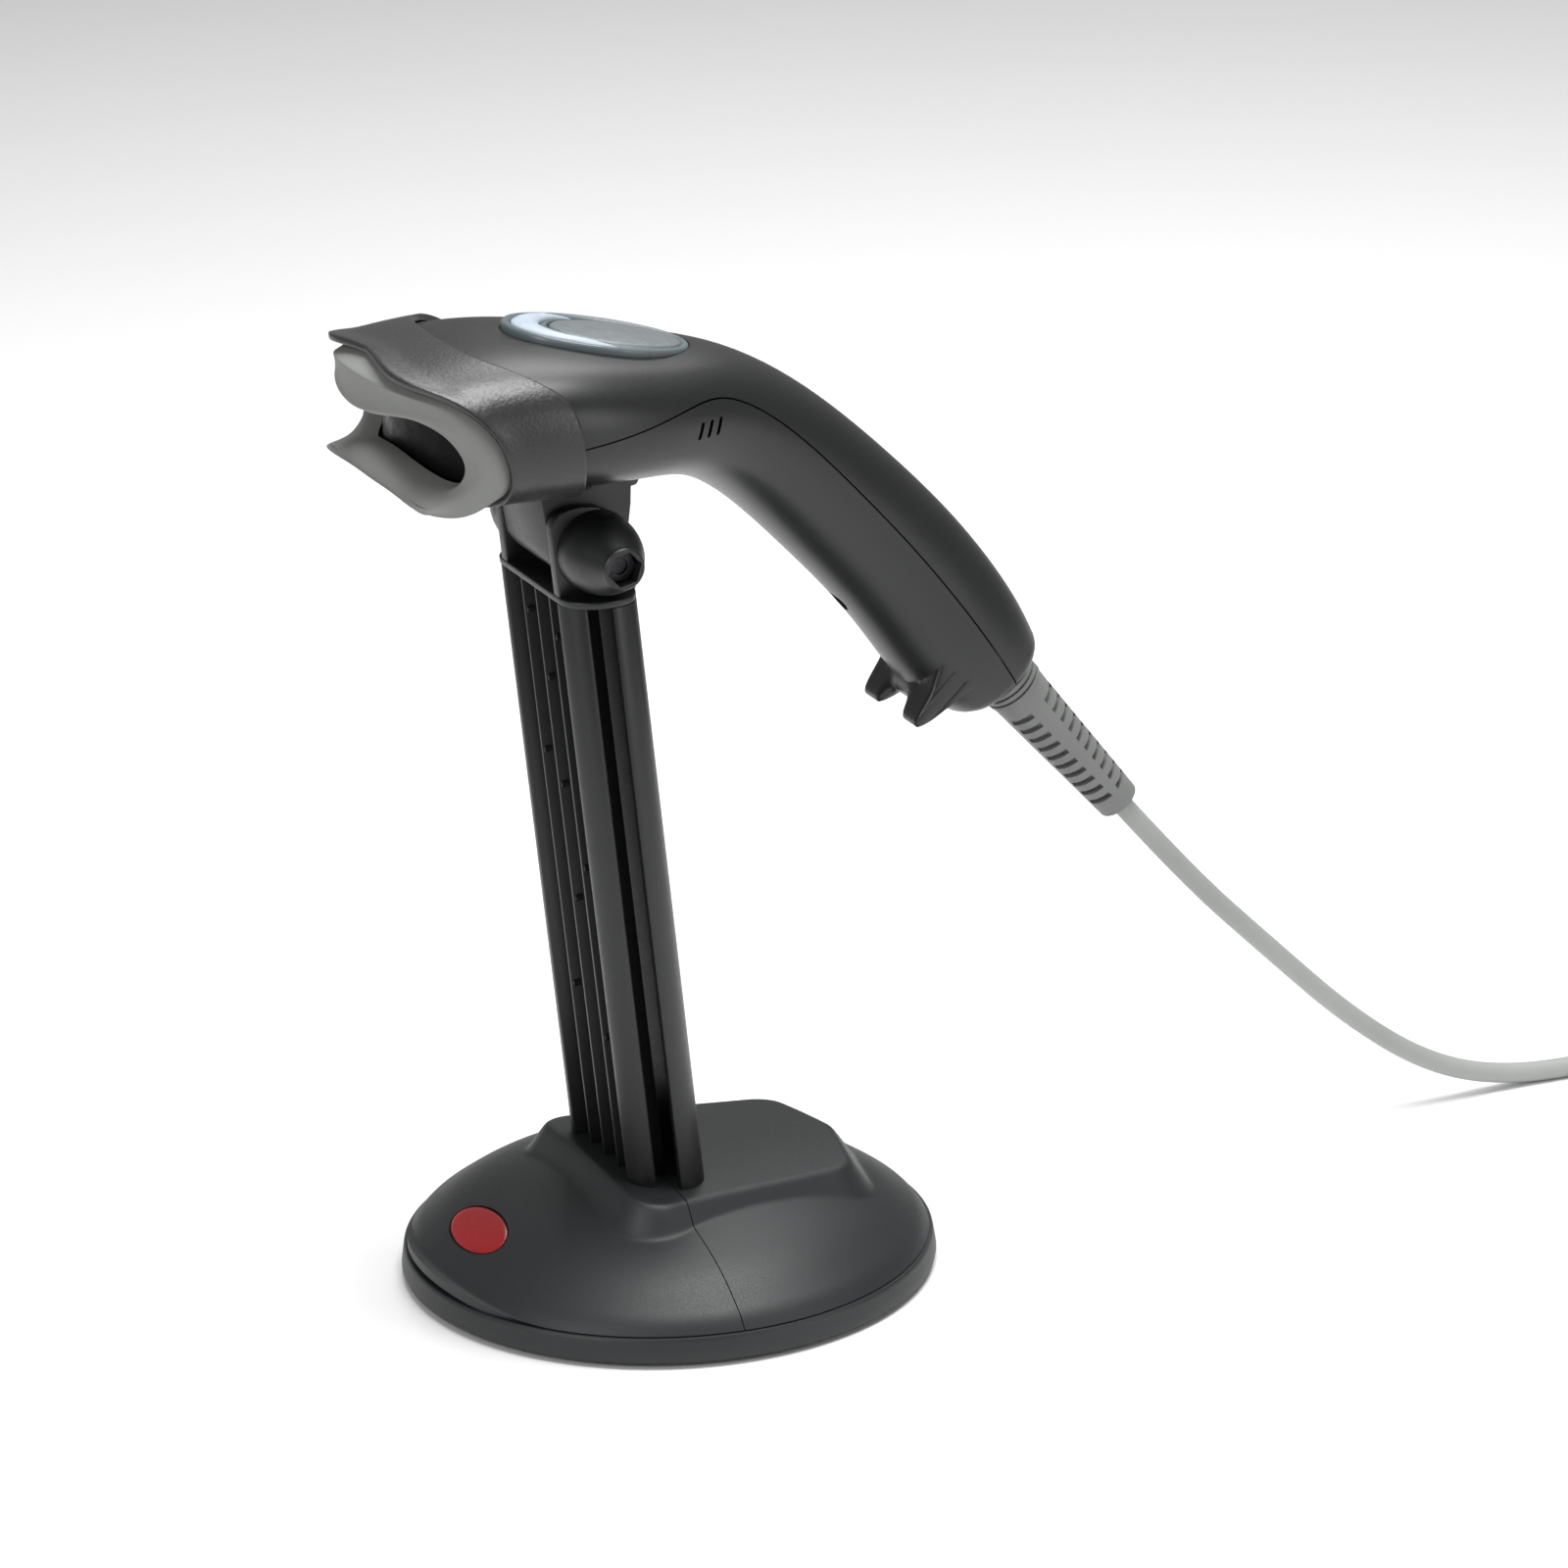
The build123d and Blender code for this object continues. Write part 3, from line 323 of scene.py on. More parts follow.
def handle_axes(points):
    """Places along the handle and out from its axis, from Y and Z."""
    turn = math.radians(HANDLE_PITCH)
    y, z = points[..., 1], points[..., 2]
    return y * math.cos(turn) - z * math.sin(turn), y * math.sin(turn) + z * math.cos(turn)


def handle_point(along, out):
    turn = math.radians(HANDLE_PITCH)
    return (along * math.cos(turn) + out * math.sin(turn),
            -along * math.sin(turn) + out * math.cos(turn))


# ---- mesh helpers -----------------------------------------------------------------


def ring_angles(count):
    return [2 * math.pi * j / count for j in range(count)]


def mirrored(line):
    """A line of (x, depth) on the other side, run the other way."""
    return [(-x, y) for x, y in line[::-1]]


def bezier(t, corners):
    s = 1 - t
    weights = (s ** 3, 3 * s * s * t, 3 * s * t * t, t ** 3)
    return sum(w * c for w, c in zip(weights, corners))


def bare_object(name, points, faces):
    mesh = bpy.data.meshes.new(name)
    mesh.from_pydata([tuple(float(c) * MM for c in p) for p in points], [], faces)
    piece = bpy.data.objects.new(name, mesh)
    bpy.context.scene.collection.objects.link(piece)
    return piece


def mesh_object(name, points, faces, slot):
    piece = bare_object(name, points, faces)
    piece.data.validate()
    piece.data.materials.append(MATERIALS[slot])
    shade(piece)
    return piece


def shade(piece, sharp=None):
    """Smooth shading, with edges sharper than that many degrees kept crisp."""
    piece.data.polygons.foreach_set("use_smooth", [True] * len(piece.data.polygons))
    if sharp is not None:
        piece.data.set_sharp_from_angle(angle=math.radians(sharp))
    piece.data.update()


def grid_faces(rows, columns, wrap_rows=False, wrap_columns=False, flip=False):
    faces = []
    for i in range(rows if wrap_rows else rows - 1):
        for j in range(columns if wrap_columns else columns - 1):
            a, b = i, (i + 1) % rows
            c, d = j, (j + 1) % columns
            face = (a * columns + c, a * columns + d, b * columns + d, b * columns + c)
            faces.append(face[::-1] if flip else face)
    return faces


def end_cap(rows, count):
    """The face over the last row of a grid."""
    return tuple((rows - 1) * count + j for j in range(count))


def outward(piece):
    """Face normals made consistent and pointing out."""
    work = bmesh.new()
    work.from_mesh(piece.data)
    bmesh.ops.remove_doubles(work, verts=work.verts, dist=1e-7)
    bmesh.ops.recalc_face_normals(work, faces=work.faces)
    work.to_mesh(piece.data)
    work.free()


def open_grid(name, points, slot, away, wrap_columns=False):
    """A mesh from rows of points, its faces turned to look along the away vectors."""
    rows, columns = points.shape[:2]
    along = points[1:, :-1] - points[:-1, :-1]
    across = points[:-1, 1:] - points[:-1, :-1]
    facing = np.cross(across, along) * np.broadcast_to(away, points.shape)[:-1, :-1]
    faces = grid_faces(rows, columns, wrap_columns=wrap_columns, flip=facing.sum() < 0)
    return mesh_object(name, points.reshape(-1, 3), faces, slot)


def apply_modifiers(piece):
    bpy.context.view_layer.update()
    evaluated = piece.evaluated_get(bpy.context.evaluated_depsgraph_get())
    mesh = bpy.data.meshes.new_from_object(evaluated)
    piece.modifiers.clear()
    piece.data = mesh


def thicken(piece, thickness):
    wall = piece.modifiers.new("wall", "SOLIDIFY")
    wall.thickness = thickness * MM
    wall.offset = -1
    wall.use_even_offset = True
    apply_modifiers(piece)
    outward(piece)


def soften(piece, width, segments=2):
    bevel = piece.modifiers.new("bevel", "BEVEL")
    bevel.width = width * MM
    bevel.segments = segments
    bevel.limit_method = "ANGLE"
    bevel.angle_limit = math.radians(40)
    bevel.use_clamp_overlap = True
    apply_modifiers(piece)


def cut(piece, tools):
    """Booleans with solid tools, which are then removed."""
    for tool in tools:
        step = piece.modifiers.new("cut", "BOOLEAN")
        step.operation = "DIFFERENCE"
        step.solver = "EXACT"
        step.object = tool
    apply_modifiers(piece)
    for tool in tools:
        bpy.data.objects.remove(tool)


def prism_data(ring_low, ring_high):
    """Points and faces of a solid between two outlines of equal length."""
    count = len(ring_low)
    points = list(ring_low) + list(ring_high)
    faces = [(i, (i + 1) % count, count + (i + 1) % count, count + i) for i in range(count)]
    faces.append(tuple(range(count))[::-1])
    faces.append(tuple(range(count, 2 * count)))
    return points, faces


def cutter(ring_low, ring_high):
    """A solid between two outlines, to cut with."""
    piece = bare_object("tool", *prism_data(ring_low, ring_high))
    outward(piece)
    return piece


def prism(name, ring_low, ring_high, slot, bevel, segments=2):
    piece = mesh_object(name, *prism_data(ring_low, ring_high), slot)
    outward(piece)
    soften(piece, bevel, segments)
    shade(piece, 35)
    return piece


def along_x(outline, *places):
    """A side-view outline of Y and Z at each of some places along X."""
    return [[(x, y, z) for y, z in outline] for x in places]


def rays_around(axis, count):
    """The axis and the directions round it, as unit vectors."""
    axis = Vector(axis).normalized()
    side = axis.orthogonal().normalized()
    other = axis.cross(side)
    return axis, [side * math.cos(turn) + other * math.sin(turn) for turn in ring_angles(count)]


def lathe(name, origin, axis, profile, slot, count):
    """A closed profile of (distance along the axis, radius), revolved."""
    axis, rays = rays_around(axis, count)
    points = [tuple(Vector(origin) + axis * along + ray * radius)
              for along, radius in profile for ray in rays]
    faces = grid_faces(len(profile), count, wrap_columns=True, wrap_rows=True)
    piece = mesh_object(name, points, faces, slot)
    outward(piece)
    return piece


def join(pieces, name):
    """One mesh object from several."""
    work = bmesh.new()
    for piece in pieces:
        work.from_mesh(piece.data)
    first = pieces[0]
    work.to_mesh(first.data)
    work.free()
    for piece in pieces[1:]:
        bpy.data.objects.remove(piece)
    first.name = name
    first.data.name = name
    return first


# ---- shells -----------------------------------------------------------------------
END_FILLET = 3.0
END_START = SPINE_END - 0.22
# Where the hook's edge lies, along the handle and out from its axis, at its side and
# at its middle between the two prongs.
HOOK_EDGE = np.array([
    (-80, 150), (-73, 148), (-70.8, 146.2), (-67.8, 142.6), (-65.1, 138.7), (-62.5, 134.1),
    (-61.2, 129.9), (-60.4, 127.4), (-59.4, 126.3), (-58.4, 126.4), (-57.5, 127.9),
    (-56.6, 133.0), (-55.6, 139.0), (-54.8, 145), (-53, 152), (-30, 153),
])
HOOK_MIDDLE = np.array([
    (-80, 150), (-68, 145), (-65.4, 139), (-63.8, 135.2), (-62.2, 132.4), (-60.5, 131.2),
    (-59, 131.0), (-57.6, 132.0), (-56.4, 136.5), (-55.2, 143), (-53, 152), (-30, 153),
])
HOOK_HALF_X = 14.4
NOTCH_HALF_X = 5.6
HOOK_TOP_Z = 175         # nothing above this height is pushed out
FRONT_ROWS_END = 7.6     # spine place where the rows from the front edge end


def smooth_step(x, low, high):
    t = np.clip((x - low) / (high - low), 0, 1)
    return t * t * (3 - 2 * t)


def hooked(points):
    """The lower shell's points, pushed out where the finger hook stands."""
    along, out = handle_axes(points)
    x = np.abs(points[..., 0])
    edge = np.interp(along, HOOK_EDGE[:, 0], HOOK_EDGE[:, 1])
    middle = np.interp(along, HOOK_MIDDLE[:, 0], HOOK_MIDDLE[:, 1])
    rise = smooth_step(x, NOTCH_HALF_X - 2.2, NOTCH_HALF_X + 1.6)
    reach = middle + (edge - middle) * rise
    corner = np.clip((x - (HOOK_HALF_X - 1.6)) / 1.6, 0, 1)
    reach = reach + 2.0 * corner ** 3
    inside = x <= HOOK_HALF_X + 1e-6
    new_out = np.where(inside & (points[..., 2] < HOOK_TOP_Z), np.minimum(out, reach), out)
    return np.stack([points[..., 0], *handle_point(along, new_out)], -1)


def stations():
    """Spine places of the rows: from the front edge (0) to the handle's end, fine at the hook."""
    return np.linspace(0, 1, 46) ** 1.05 * FRONT_ROWS_END, np.linspace(7.7, END_START, 64)


def shell_rows(v_lines):
    """Rows of points for one shell; v_lines(u) gives its outline places at each row."""
    body, hook = stations()
    rows = []
    places = body / body[-1]
    for place in places:
        v = v_lines(np.full(1, 3.0))
        for _ in range(4):
            start = front_place(v)
            u = start + (FRONT_ROWS_END - start) * place
            v = v_lines(u)
        rows.append((u, v, np.zeros_like(v)))
    for u in hook:
        u = np.full(1, u)
        v = v_lines(u)
        rows.append((np.broadcast_to(u, v.shape), v, np.zeros_like(v)))
    for turn in np.radians((20, 40, 60, 78, 90)):
        u = np.full(1, END_START + (SPINE_END - END_START) * math.sin(turn))
        v = v_lines(u)
        grow = np.full_like(v, -END_FILLET * (1 - math.cos(turn)))
        rows.append((np.broadcast_to(u, v.shape), v, grow))
    for grow in (-5.0, -6.4):
        v = v_lines(np.full(1, SPINE_END - 0.001))
        rows.append((np.full_like(v, SPINE_END), v, np.full_like(v, grow)))
    return rows


def upper_lines(u):
    """Outline places of the upper shell's lines, from the right seam over to the left."""
    seam = np.reshape(seam_place(u, HALF_GAP), (-1,))
    edge = 0.012
    inner = np.concatenate([[0.0, edge], np.linspace(0.03, 0.97, 46), [1 - edge, 1.0]])
    return seam + (2 - 2 * seam) * inner


HOOK_LINES_X = [15.4, 15.0, 14.7, 14.5, 14.4, 14.2, 13.9, 13.5, 13.0, 12.3, 11.4, 10.4, 9.4, 8.6,
                8.0, 7.5, 7.0, 6.5, 6.0, 5.5, 5.0, 4.5, 4.0, 3.4, 2.6, 1.6, 0.6]


def hook_places():
    """Bezier places whose lines run at those distances from the middle of the handle."""
    row = SPINE[8]
    t = np.linspace(0, 1, 2001)
    s = 1 - t
    x = row[3] * (s ** 3 + 3 * s * s * t + 3 * s * t * t * 0.59)
    return np.interp(HOOK_LINES_X, x[::-1], t[::-1])


HOOK_PLACES = hook_places()


def lower_lines(u):
    """Outline places of the lower shell's lines, from the left seam under to the right."""
    seam = np.reshape(seam_place(u, -HALF_GAP), (-1,))
    steps = np.concatenate([[0.0, 0.03], np.linspace(0.1, 0.92, 9)])
    seam = seam[:len(steps)]
    side = -seam + (HOOK_PLACES[0] + seam) * steps
    half = np.concatenate([side, HOOK_PLACES])
    return np.concatenate([2 + half, 4 - half[::-1]])


def shell(name, v_lines, shape=None):
    points = np.array([form_point(u, v, grow) for u, v, grow in shell_rows(v_lines)])
    if shape:
        points = shape(points)
    piece = open_grid(name, points, "shell_plastic", points - points.mean(axis=1, keepdims=True))
    thicken(piece, SHELL_T)
    return piece


def bar_tool(origin, axis, radius, length):
    axis, rays = rays_around(axis, 48)
    low = [Vector(origin) + ray * radius for ray in rays]
    return cutter([tuple(p) for p in low], [tuple(p + axis * length) for p in low])


BUTTON_PITCH = 12.6
BUTTON_AT = (-10.9, 225.6)
BUTTON_LENGTH = 44.0
BUTTON_WIDTH = 32.8
DOME_LENGTH = 31.0
DOME_WIDTH = 23.0
DOME_BACK = 4.9
OVAL_POINTS = 96


def button_point(back, side, lift):
    """A point over the button's plane: back along the head, sideways, and up."""
    turn = math.radians(BUTTON_PITCH)
    y = BUTTON_AT[0] + back * math.cos(turn) + lift * math.sin(turn)
    z = BUTTON_AT[1] - back * math.sin(turn) + lift * math.cos(turn)
    return (side, y, z)


def oval(length, width, lift, back=0.0):
    return [button_point(back + length / 2 * math.cos(turn), width / 2 * math.sin(turn), lift)
            for turn in ring_angles(OVAL_POINTS)]


SLOT_LOW, SLOT_HIGH = 206.6, 210.6
SLOT_WIDE = 0.95
SLOT_STEP = 2.6
SCREW_ALONG = -89.0
SCREW_START = 125
SCREW_SEAT = 137.4
BUTTON_FIT = 0.3          # how much the button's opening is larger than its ring


def slot_tool(y):
    """A sounder slot with rounded ends, leaning a little back."""
    ring = []
    for turn in ring_angles(20):
        end = 1 if math.sin(turn) > 0 else -1
        z = (SLOT_LOW + SLOT_HIGH) / 2 + (SLOT_HIGH - SLOT_LOW - SLOT_WIDE) / 2 * end
        z += SLOT_WIDE / 2 * math.sin(turn)
        ring.append((y + SLOT_WIDE / 2 * math.cos(turn) + (z - SLOT_LOW) * 0.3, z))
    return cutter(*along_x(ring, 15, 34))


def make_shells():
    turn = math.radians(HANDLE_PITCH)
    out_way = (0, math.sin(turn), math.cos(turn))
    upper = shell("shell_upper", upper_lines)
    cut(upper, [cutter(*(oval(BUTTON_LENGTH + BUTTON_FIT, BUTTON_WIDTH + BUTTON_FIT, lift)
                         for lift in (-7, 9)))])
    shade(upper, 35)
    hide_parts("upper_shell")
    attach(upper, "scanner")

    lower = shell("shell_lower", lower_lines, hooked)
    seat = bar_tool((0, *handle_point(SCREW_ALONG, SCREW_START)), out_way, 3.0,
                    SCREW_SEAT - SCREW_START)
    cut(lower, [seat] + [slot_tool(2.0 + SLOT_STEP * i) for i in range(3)])
    shade(lower, 35)
    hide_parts("lower_shell")
    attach(lower, "scanner")


# ---- holder -----------------------------------------------------------------------
# Spine places of the cup's front and rear edges around its outline, right half.
CUP_FRONT = np.array([
    (-1.0, 1.62), (-0.8, 1.64), (-0.62, 1.70), (-0.53, 1.76), (-0.37, 1.81), (-0.14, 1.77),
    (0.02, 1.65), (0.18, 1.42), (0.32, 1.19), (0.48, 0.91), (0.59, 0.72), (0.68, 0.62),
    (0.78, 0.58), (0.90, 0.61), (1.0, 0.65),
])
CUP_REAR = np.array([
    (-1.0, 3.86), (-0.93, 3.84), (-0.87, 3.76), (-0.81, 3.52), (-0.74, 3.20), (-0.66, 3.02),
    (-0.55, 2.94), (-0.42, 2.89), (-0.2, 2.80), (-0.02, 2.73), (0.12, 2.66), (0.24, 2.57),
    (0.33, 2.46), (0.40, 2.30), (0.50, 2.07), (0.60, 1.86), (0.69, 1.69), (0.80, 1.55),
    (0.92, 1.49), (1.0, 1.475),
])
CUP_GAP = 0.35
CUP_WALL = 1.5
SPINE_STEP = 18           # about how many millimetres one spine place is
SADDLE_PLACES = (3.05, 4.28)
SADDLE_LINES = 25
SADDLE_HALF_X = 12.3      # narrower than the gap between the post's ears


def cup_edges(v):
    """Front and rear edge places for outline places v, the same on both sides."""
    folded = np.mod(v, 4.0)
    folded = np.where(folded > 3, folded - 4, folded)
    folded = np.where(folded > 1, 2 - folded, folded)
    front = Smooth(CUP_FRONT[:, 0], CUP_FRONT[:, 1])(folded)[..., 0]
    rear = np.interp(folded, CUP_REAR[:, 0], CUP_REAR[:, 1])
    kernel = np.exp(-np.linspace(-1.6, 1.6, 9) ** 2)
    padded = np.concatenate([rear[-4:], rear, rear[:4]])
    rear = np.convolve(padded, kernel / kernel.sum(), "valid")
    return front, rear


def make_cup():
    v = np.linspace(0, 4, 220, endpoint=False)
    front, rear = cup_edges(v)
    low, high = CUP_GAP, CUP_GAP + CUP_WALL
    # Round the wall's section: place from front edge to rear, push past the edge, and grow.
    section_places = [(t, 0.0, high) for t in np.linspace(0, 1, 30)]
    section_places += [(1, 0.10, high - 0.12), (1, 0.16, high - 0.4),
                       (1, 0.16, low + 0.4), (1, 0.10, low + 0.1)]
    section_places += [(t, 0.0, low) for t in np.linspace(1, 0, 16)]
    section_places += [(0, -0.10, low + 0.1), (0, -0.2, low + 0.4),
                       (0, -0.2, high - 0.4), (0, -0.10, high - 0.1)]
    rows = []
    top_lift = smooth_step(np.abs(np.mod(v, 4) - 1), 0.75, 0.0)
    for t, push, grow in section_places:
        u = front + (rear - front) * t
        lip = np.exp(-((t * (rear - front) * SPINE_STEP) / 3.5) ** 2)
        rows.append(form_point(u + push / SPINE_STEP, v, grow + 0.9 * lip * top_lift + 0.35 * lip))
    points = np.array(rows)
    faces = grid_faces(len(rows), len(v), wrap_rows=True, wrap_columns=True)
    cup = mesh_object("holder_cup_shell", points.reshape(-1, 3), faces, "holder_plastic")
    outward(cup)
    shade(cup, 60)
    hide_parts("holder_cup")
    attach(cup, "holder")

    neck_outline = [(-28.9, 181.4), (-28.6, 179.6), (-27.4, 177.6), (-25.6, 175.6),
                    (-23.2, 174.2), (-19.4, 173.4), (-15.6, 174.2), (-12.6, 176.2), (-10.8, 179),
                    (-9.9, 183), (-8.9, 190), (-8.6, 196.2), (-31.0, 198.0)]
    neck = prism("holder_neck", *along_x(neck_outline, -13.1, 13.1), "holder_smooth", 0.5)
    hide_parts("holder_cup")
    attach(neck, "holder")
    make_saddle()


def make_saddle():
    """The thick dark tongue behind the cup that follows the scanner's underside."""
    first, last = SADDLE_PLACES
    across = np.linspace(-1, 1, SADDLE_LINES)
    rows = []
    for t in np.linspace(0, 1, 26):
        u = first + (last - first) * t

        def past_ear(h):
            side = form_point(np.full(1, u), 3 + h, CUP_GAP)
            return np.abs(side[..., 0]) - SADDLE_HALF_X

        widest = bisect(past_ear, np.zeros(1), np.full(1, 0.7))[0]
        half = 0.40 * (1 - 0.35 * t ** 3) * math.sqrt(max(1 - max(0, (t - 0.72) / 0.30) ** 2, 0.02))
        half = min(half, widest)
        v = 3 + np.linspace(-half, half, SADDLE_LINES)
        taper = 0.35 + 0.65 * math.sqrt(max(1 - max(0, (t - 0.8) / 0.2) ** 2, 0))
        thick = 4.6 * (1 - 0.55 * t) * taper
        outer = CUP_GAP + 0.2 + thick * np.sqrt(np.clip(1 - np.abs(across) ** 4, 0.0, 1))
        top = form_point(np.full(SADDLE_LINES, u), v, np.full(SADDLE_LINES, CUP_GAP))
        under = form_point(np.full(SADDLE_LINES, u), v[::-1], outer[::-1])
        rows.append(np.concatenate([top, under]))
    points = np.array(rows)
    count = points.shape[1]
    faces = grid_faces(len(rows), count, wrap_columns=True)
    faces.append(tuple(range(count)))
    faces.append(end_cap(len(rows), count)[::-1])
    saddle = mesh_object("holder_saddle", points.reshape(-1, 3), faces, "holder_smooth")
    outward(saddle)
    shade(saddle, 50)
    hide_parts("holder_cup")
    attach(saddle, "holder")


# ---- nose bumper ------------------------------------------------------------------
# Each loop is one contour round the window, from the tucked-in outer edge to the inner one:
# its right half, from the bottom middle up the side to the top middle. X, Y and Z.
BUMPER_LOOPS = [
    [(0, -49, 198.4), (12, -49, 198.6), (22, -48, 199.4), (29, -46, 201.6), (33, -44.5, 206),
     (34, -44.5, 211), (33.4, -46.5, 216.5), (31.2, -50.0, 221.8), (27, -54.4, 225.4),
     (21, -59.0, 227.6), (14, -62.4, 228.6), (7, -64, 229.0), (0, -64.4, 229.1)],
    [(0, -53, 198.2), (12, -52.8, 198.4), (22, -51.5, 198.9), (29.5, -49.5, 200.4),
     (33.8, -48.3, 205), (34.8, -48.3, 210), (34.0, -50.0, 215.8), (31.4, -53.8, 220.6),
     (27.4, -58.2, 223.6), (21.5, -63.4, 225.2), (14.5, -66.8, 226.2), (7, -68.3, 226.7),
     (0, -68.7, 226.8)],
    [(0, -60, 199.0), (14, -60, 199.0), (27, -59.6, 199.0), (32, -55, 199.6), (34, -51.2, 204.4),
     (34.6, -50.6, 209.6), (33.8, -52.2, 214.8), (31.0, -55.8, 219.6), (27.2, -59.4, 222.6),
     (21.8, -64, 224.3), (14.6, -67.2, 224.9), (7, -68.7, 225.1), (0, -69.1, 225.1)],
    [(0, -64.9, 200.5), (14, -64.9, 200.5), (28, -64.65, 200.4), (31.2, -58.6, 200.6),
     (33.2, -53.6, 204.4), (33.6, -52.4, 209.5), (32.6, -53.8, 214.0), (29.8, -57.2, 218.2),
     (26, -60.6, 220.9), (21, -64.4, 221.8), (14.2, -67.2, 221.4), (7, -68.5, 220.6),
     (0, -68.9, 220.3)],
    [(0, -65.2, 201.2), (14, -65.2, 201.2), (27, -64.7, 201.2), (29.4, -59.6, 202),
     (31.8, -54.6, 205.4), (32.4, -53.4, 209.4), (31.3, -54.8, 213.4), (28.5, -58.2, 217.2),
     (24.6, -61.8, 219.4), (19.5, -65.2, 220.0), (13, -67.6, 219.4), (6.5, -68.8, 218.7),
     (0, -69.1, 218.3)],
    [(0, -65.0, 204.0), (13, -64.6, 203.6), (23.8, -62.6, 202.5), (27.4, -58.4, 203.2),
     (30.0, -55.2, 206.2), (30.8, -54.4, 209.6), (29.8, -55.4, 213.0), (27.0, -57.8, 216.4),
     (23.2, -60.6, 218.4), (18.5, -63.4, 219.2), (12.5, -65.6, 218.7), (6, -66.8, 217.8),
     (0, -67.1, 217.3)],
    [(0, -63.8, 207.2), (12, -62.9, 205.7), (20.5, -60.2, 203.8), (25.4, -57.2, 204.0),
     (28.4, -55.2, 206.4), (29.3, -54.6, 209.8), (28.2, -55.6, 213.2), (25.4, -57.6, 216.1),
     (21.6, -60.0, 217.8), (17, -62.2, 218.4), (11.5, -64.2, 217.9), (5.5, -65.4, 217.0),
     (0, -65.7, 216.5)],
    [(0, -59.4, 207.4), (12, -58.2, 206.0), (20, -55.6, 204.4), (24.6, -53.2, 204.7),
     (27.4, -50.6, 206.7), (28.2, -50.0, 209.8), (27.2, -50.8, 212.9), (24.6, -52.6, 215.6),
     (21, -54.8, 217.1), (16.6, -56.8, 217.6), (11.2, -58.4, 217.1), (5.4, -59.4, 216.3),
     (0, -59.7, 215.9)],
]


PANE_MIDDLE_Z = 210.4
PANE_R = 47.8             # plan radius of the pane


def full_loop(half):
    """Both halves of a symmetrical loop, through a closed spline at even steps."""
    half = np.array(half, float)
    other = half[1:-1][::-1] * (-1, 1, 1)
    ring = np.concatenate([half, other])
    count = len(ring)
    wrapped = np.concatenate([ring[-4:], ring, ring[:5]])
    line = Smooth(np.arange(-4, count + 5), wrapped)
    return line(np.linspace(0, count, 8 * count, endpoint=False))


def make_bumper():
    loops = np.array([full_loop(half) for half in BUMPER_LOOPS])
    count = loops.shape[1]
    across = Smooth(np.arange(len(loops)), loops.reshape(len(loops), -1))
    rows = across(np.linspace(0, len(loops) - 1, 6 * (len(loops) - 1) + 1)).reshape(-1, count, 3)
    bumper = open_grid("bumper_front", rows, "bumper_rubber", (0, -1, 0), wrap_columns=True)
    thicken(bumper, 1.2)
    shade(bumper, 70)
    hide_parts("nose_bumper")
    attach(bumper, "scanner")
    make_window(rows[-1])


def make_window(edge):
    """The dark curved pane behind the bumper's opening."""
    rows = []
    for t in (1.03, 0.97, 0.85, 0.7, 0.5, 0.3, 0.12):
        ring = edge.copy()
        ring[:, 0] = edge[:, 0] * t
        ring[:, 2] = PANE_MIDDLE_Z + (edge[:, 2] - PANE_MIDDLE_Z) * t
        ring[:, 1] = FRONT_CENTRE_Y - np.sqrt(PANE_R ** 2 - ring[:, 0] ** 2)
        rows.append(ring)
    points = np.array(rows)
    count = points.shape[1]
    faces = grid_faces(len(rows), count, wrap_columns=True)
    faces.append(end_cap(len(rows), count))
    pane = mesh_object("window_curved_pane", points.reshape(-1, 3), faces, "window_dark")
    outward(pane)
    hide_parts("window_pane")
    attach(pane, "scanner")


# ---- button, light ring and crescent ------------------------------------------------
def oval_stack(name, rings, slot, ride_on, node, capped=False):
    """A piece made of stacked ovals: (length, width, lift, back) for each."""
    points = [p for length, width, lift, back in rings for p in oval(length, width, lift, back)]
    faces = grid_faces(len(rings), OVAL_POINTS, wrap_columns=True)
    if capped:
        faces += [end_cap(len(rings), OVAL_POINTS), tuple(range(OVAL_POINTS))]
    piece = mesh_object(name, points, faces, slot)
    outward(piece)
    shade(piece, 50)
    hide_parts(node)
    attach(piece, ride_on)


def make_button():
    ring = [(BUTTON_LENGTH - inset, BUTTON_WIDTH - inset, lift, 0) for inset, lift in (
        (2, -3.0), (0.3, -2.0), (0, 0.0), (0, 0.5), (0.3, 0.95), (1.0, 1.25), (2.0, 1.25),
        (3.0, 1.0), (3.9, 0.75), (4.2, 0.2))]
    ring += [(DOME_LENGTH + wider, DOME_WIDTH + wider, lift, DOME_BACK - ahead)
             for wider, lift, ahead in ((3.4, 0.3, 0.6), (2.2, 0.9, 0), (1.5, 1.0, 0),
                                        (1.0, 0.7, 0), (0.9, -2.6, 0))]
    oval_stack("button_light_ring", ring, "ring_clear", "scanner", "button_ring")
    dome = [(DOME_LENGTH - inset, DOME_WIDTH - inset, lift, DOME_BACK) for inset, lift in (
        (1, -2.2), (0, -1.6), (0, 0.5), (0.3, 0.9), (0.9, 1.15))]
    dome += [(DOME_LENGTH * s - 0.9, DOME_WIDTH * s - 0.9, 1.15 + (1 - s * s), DOME_BACK)
             for s in (0.93, 0.84, 0.72, 0.58, 0.42, 0.25, 0.1)]
    oval_stack("button_dome", dome, "button_clear", "trigger", "trigger_button", capped=True)
    make_crescent()


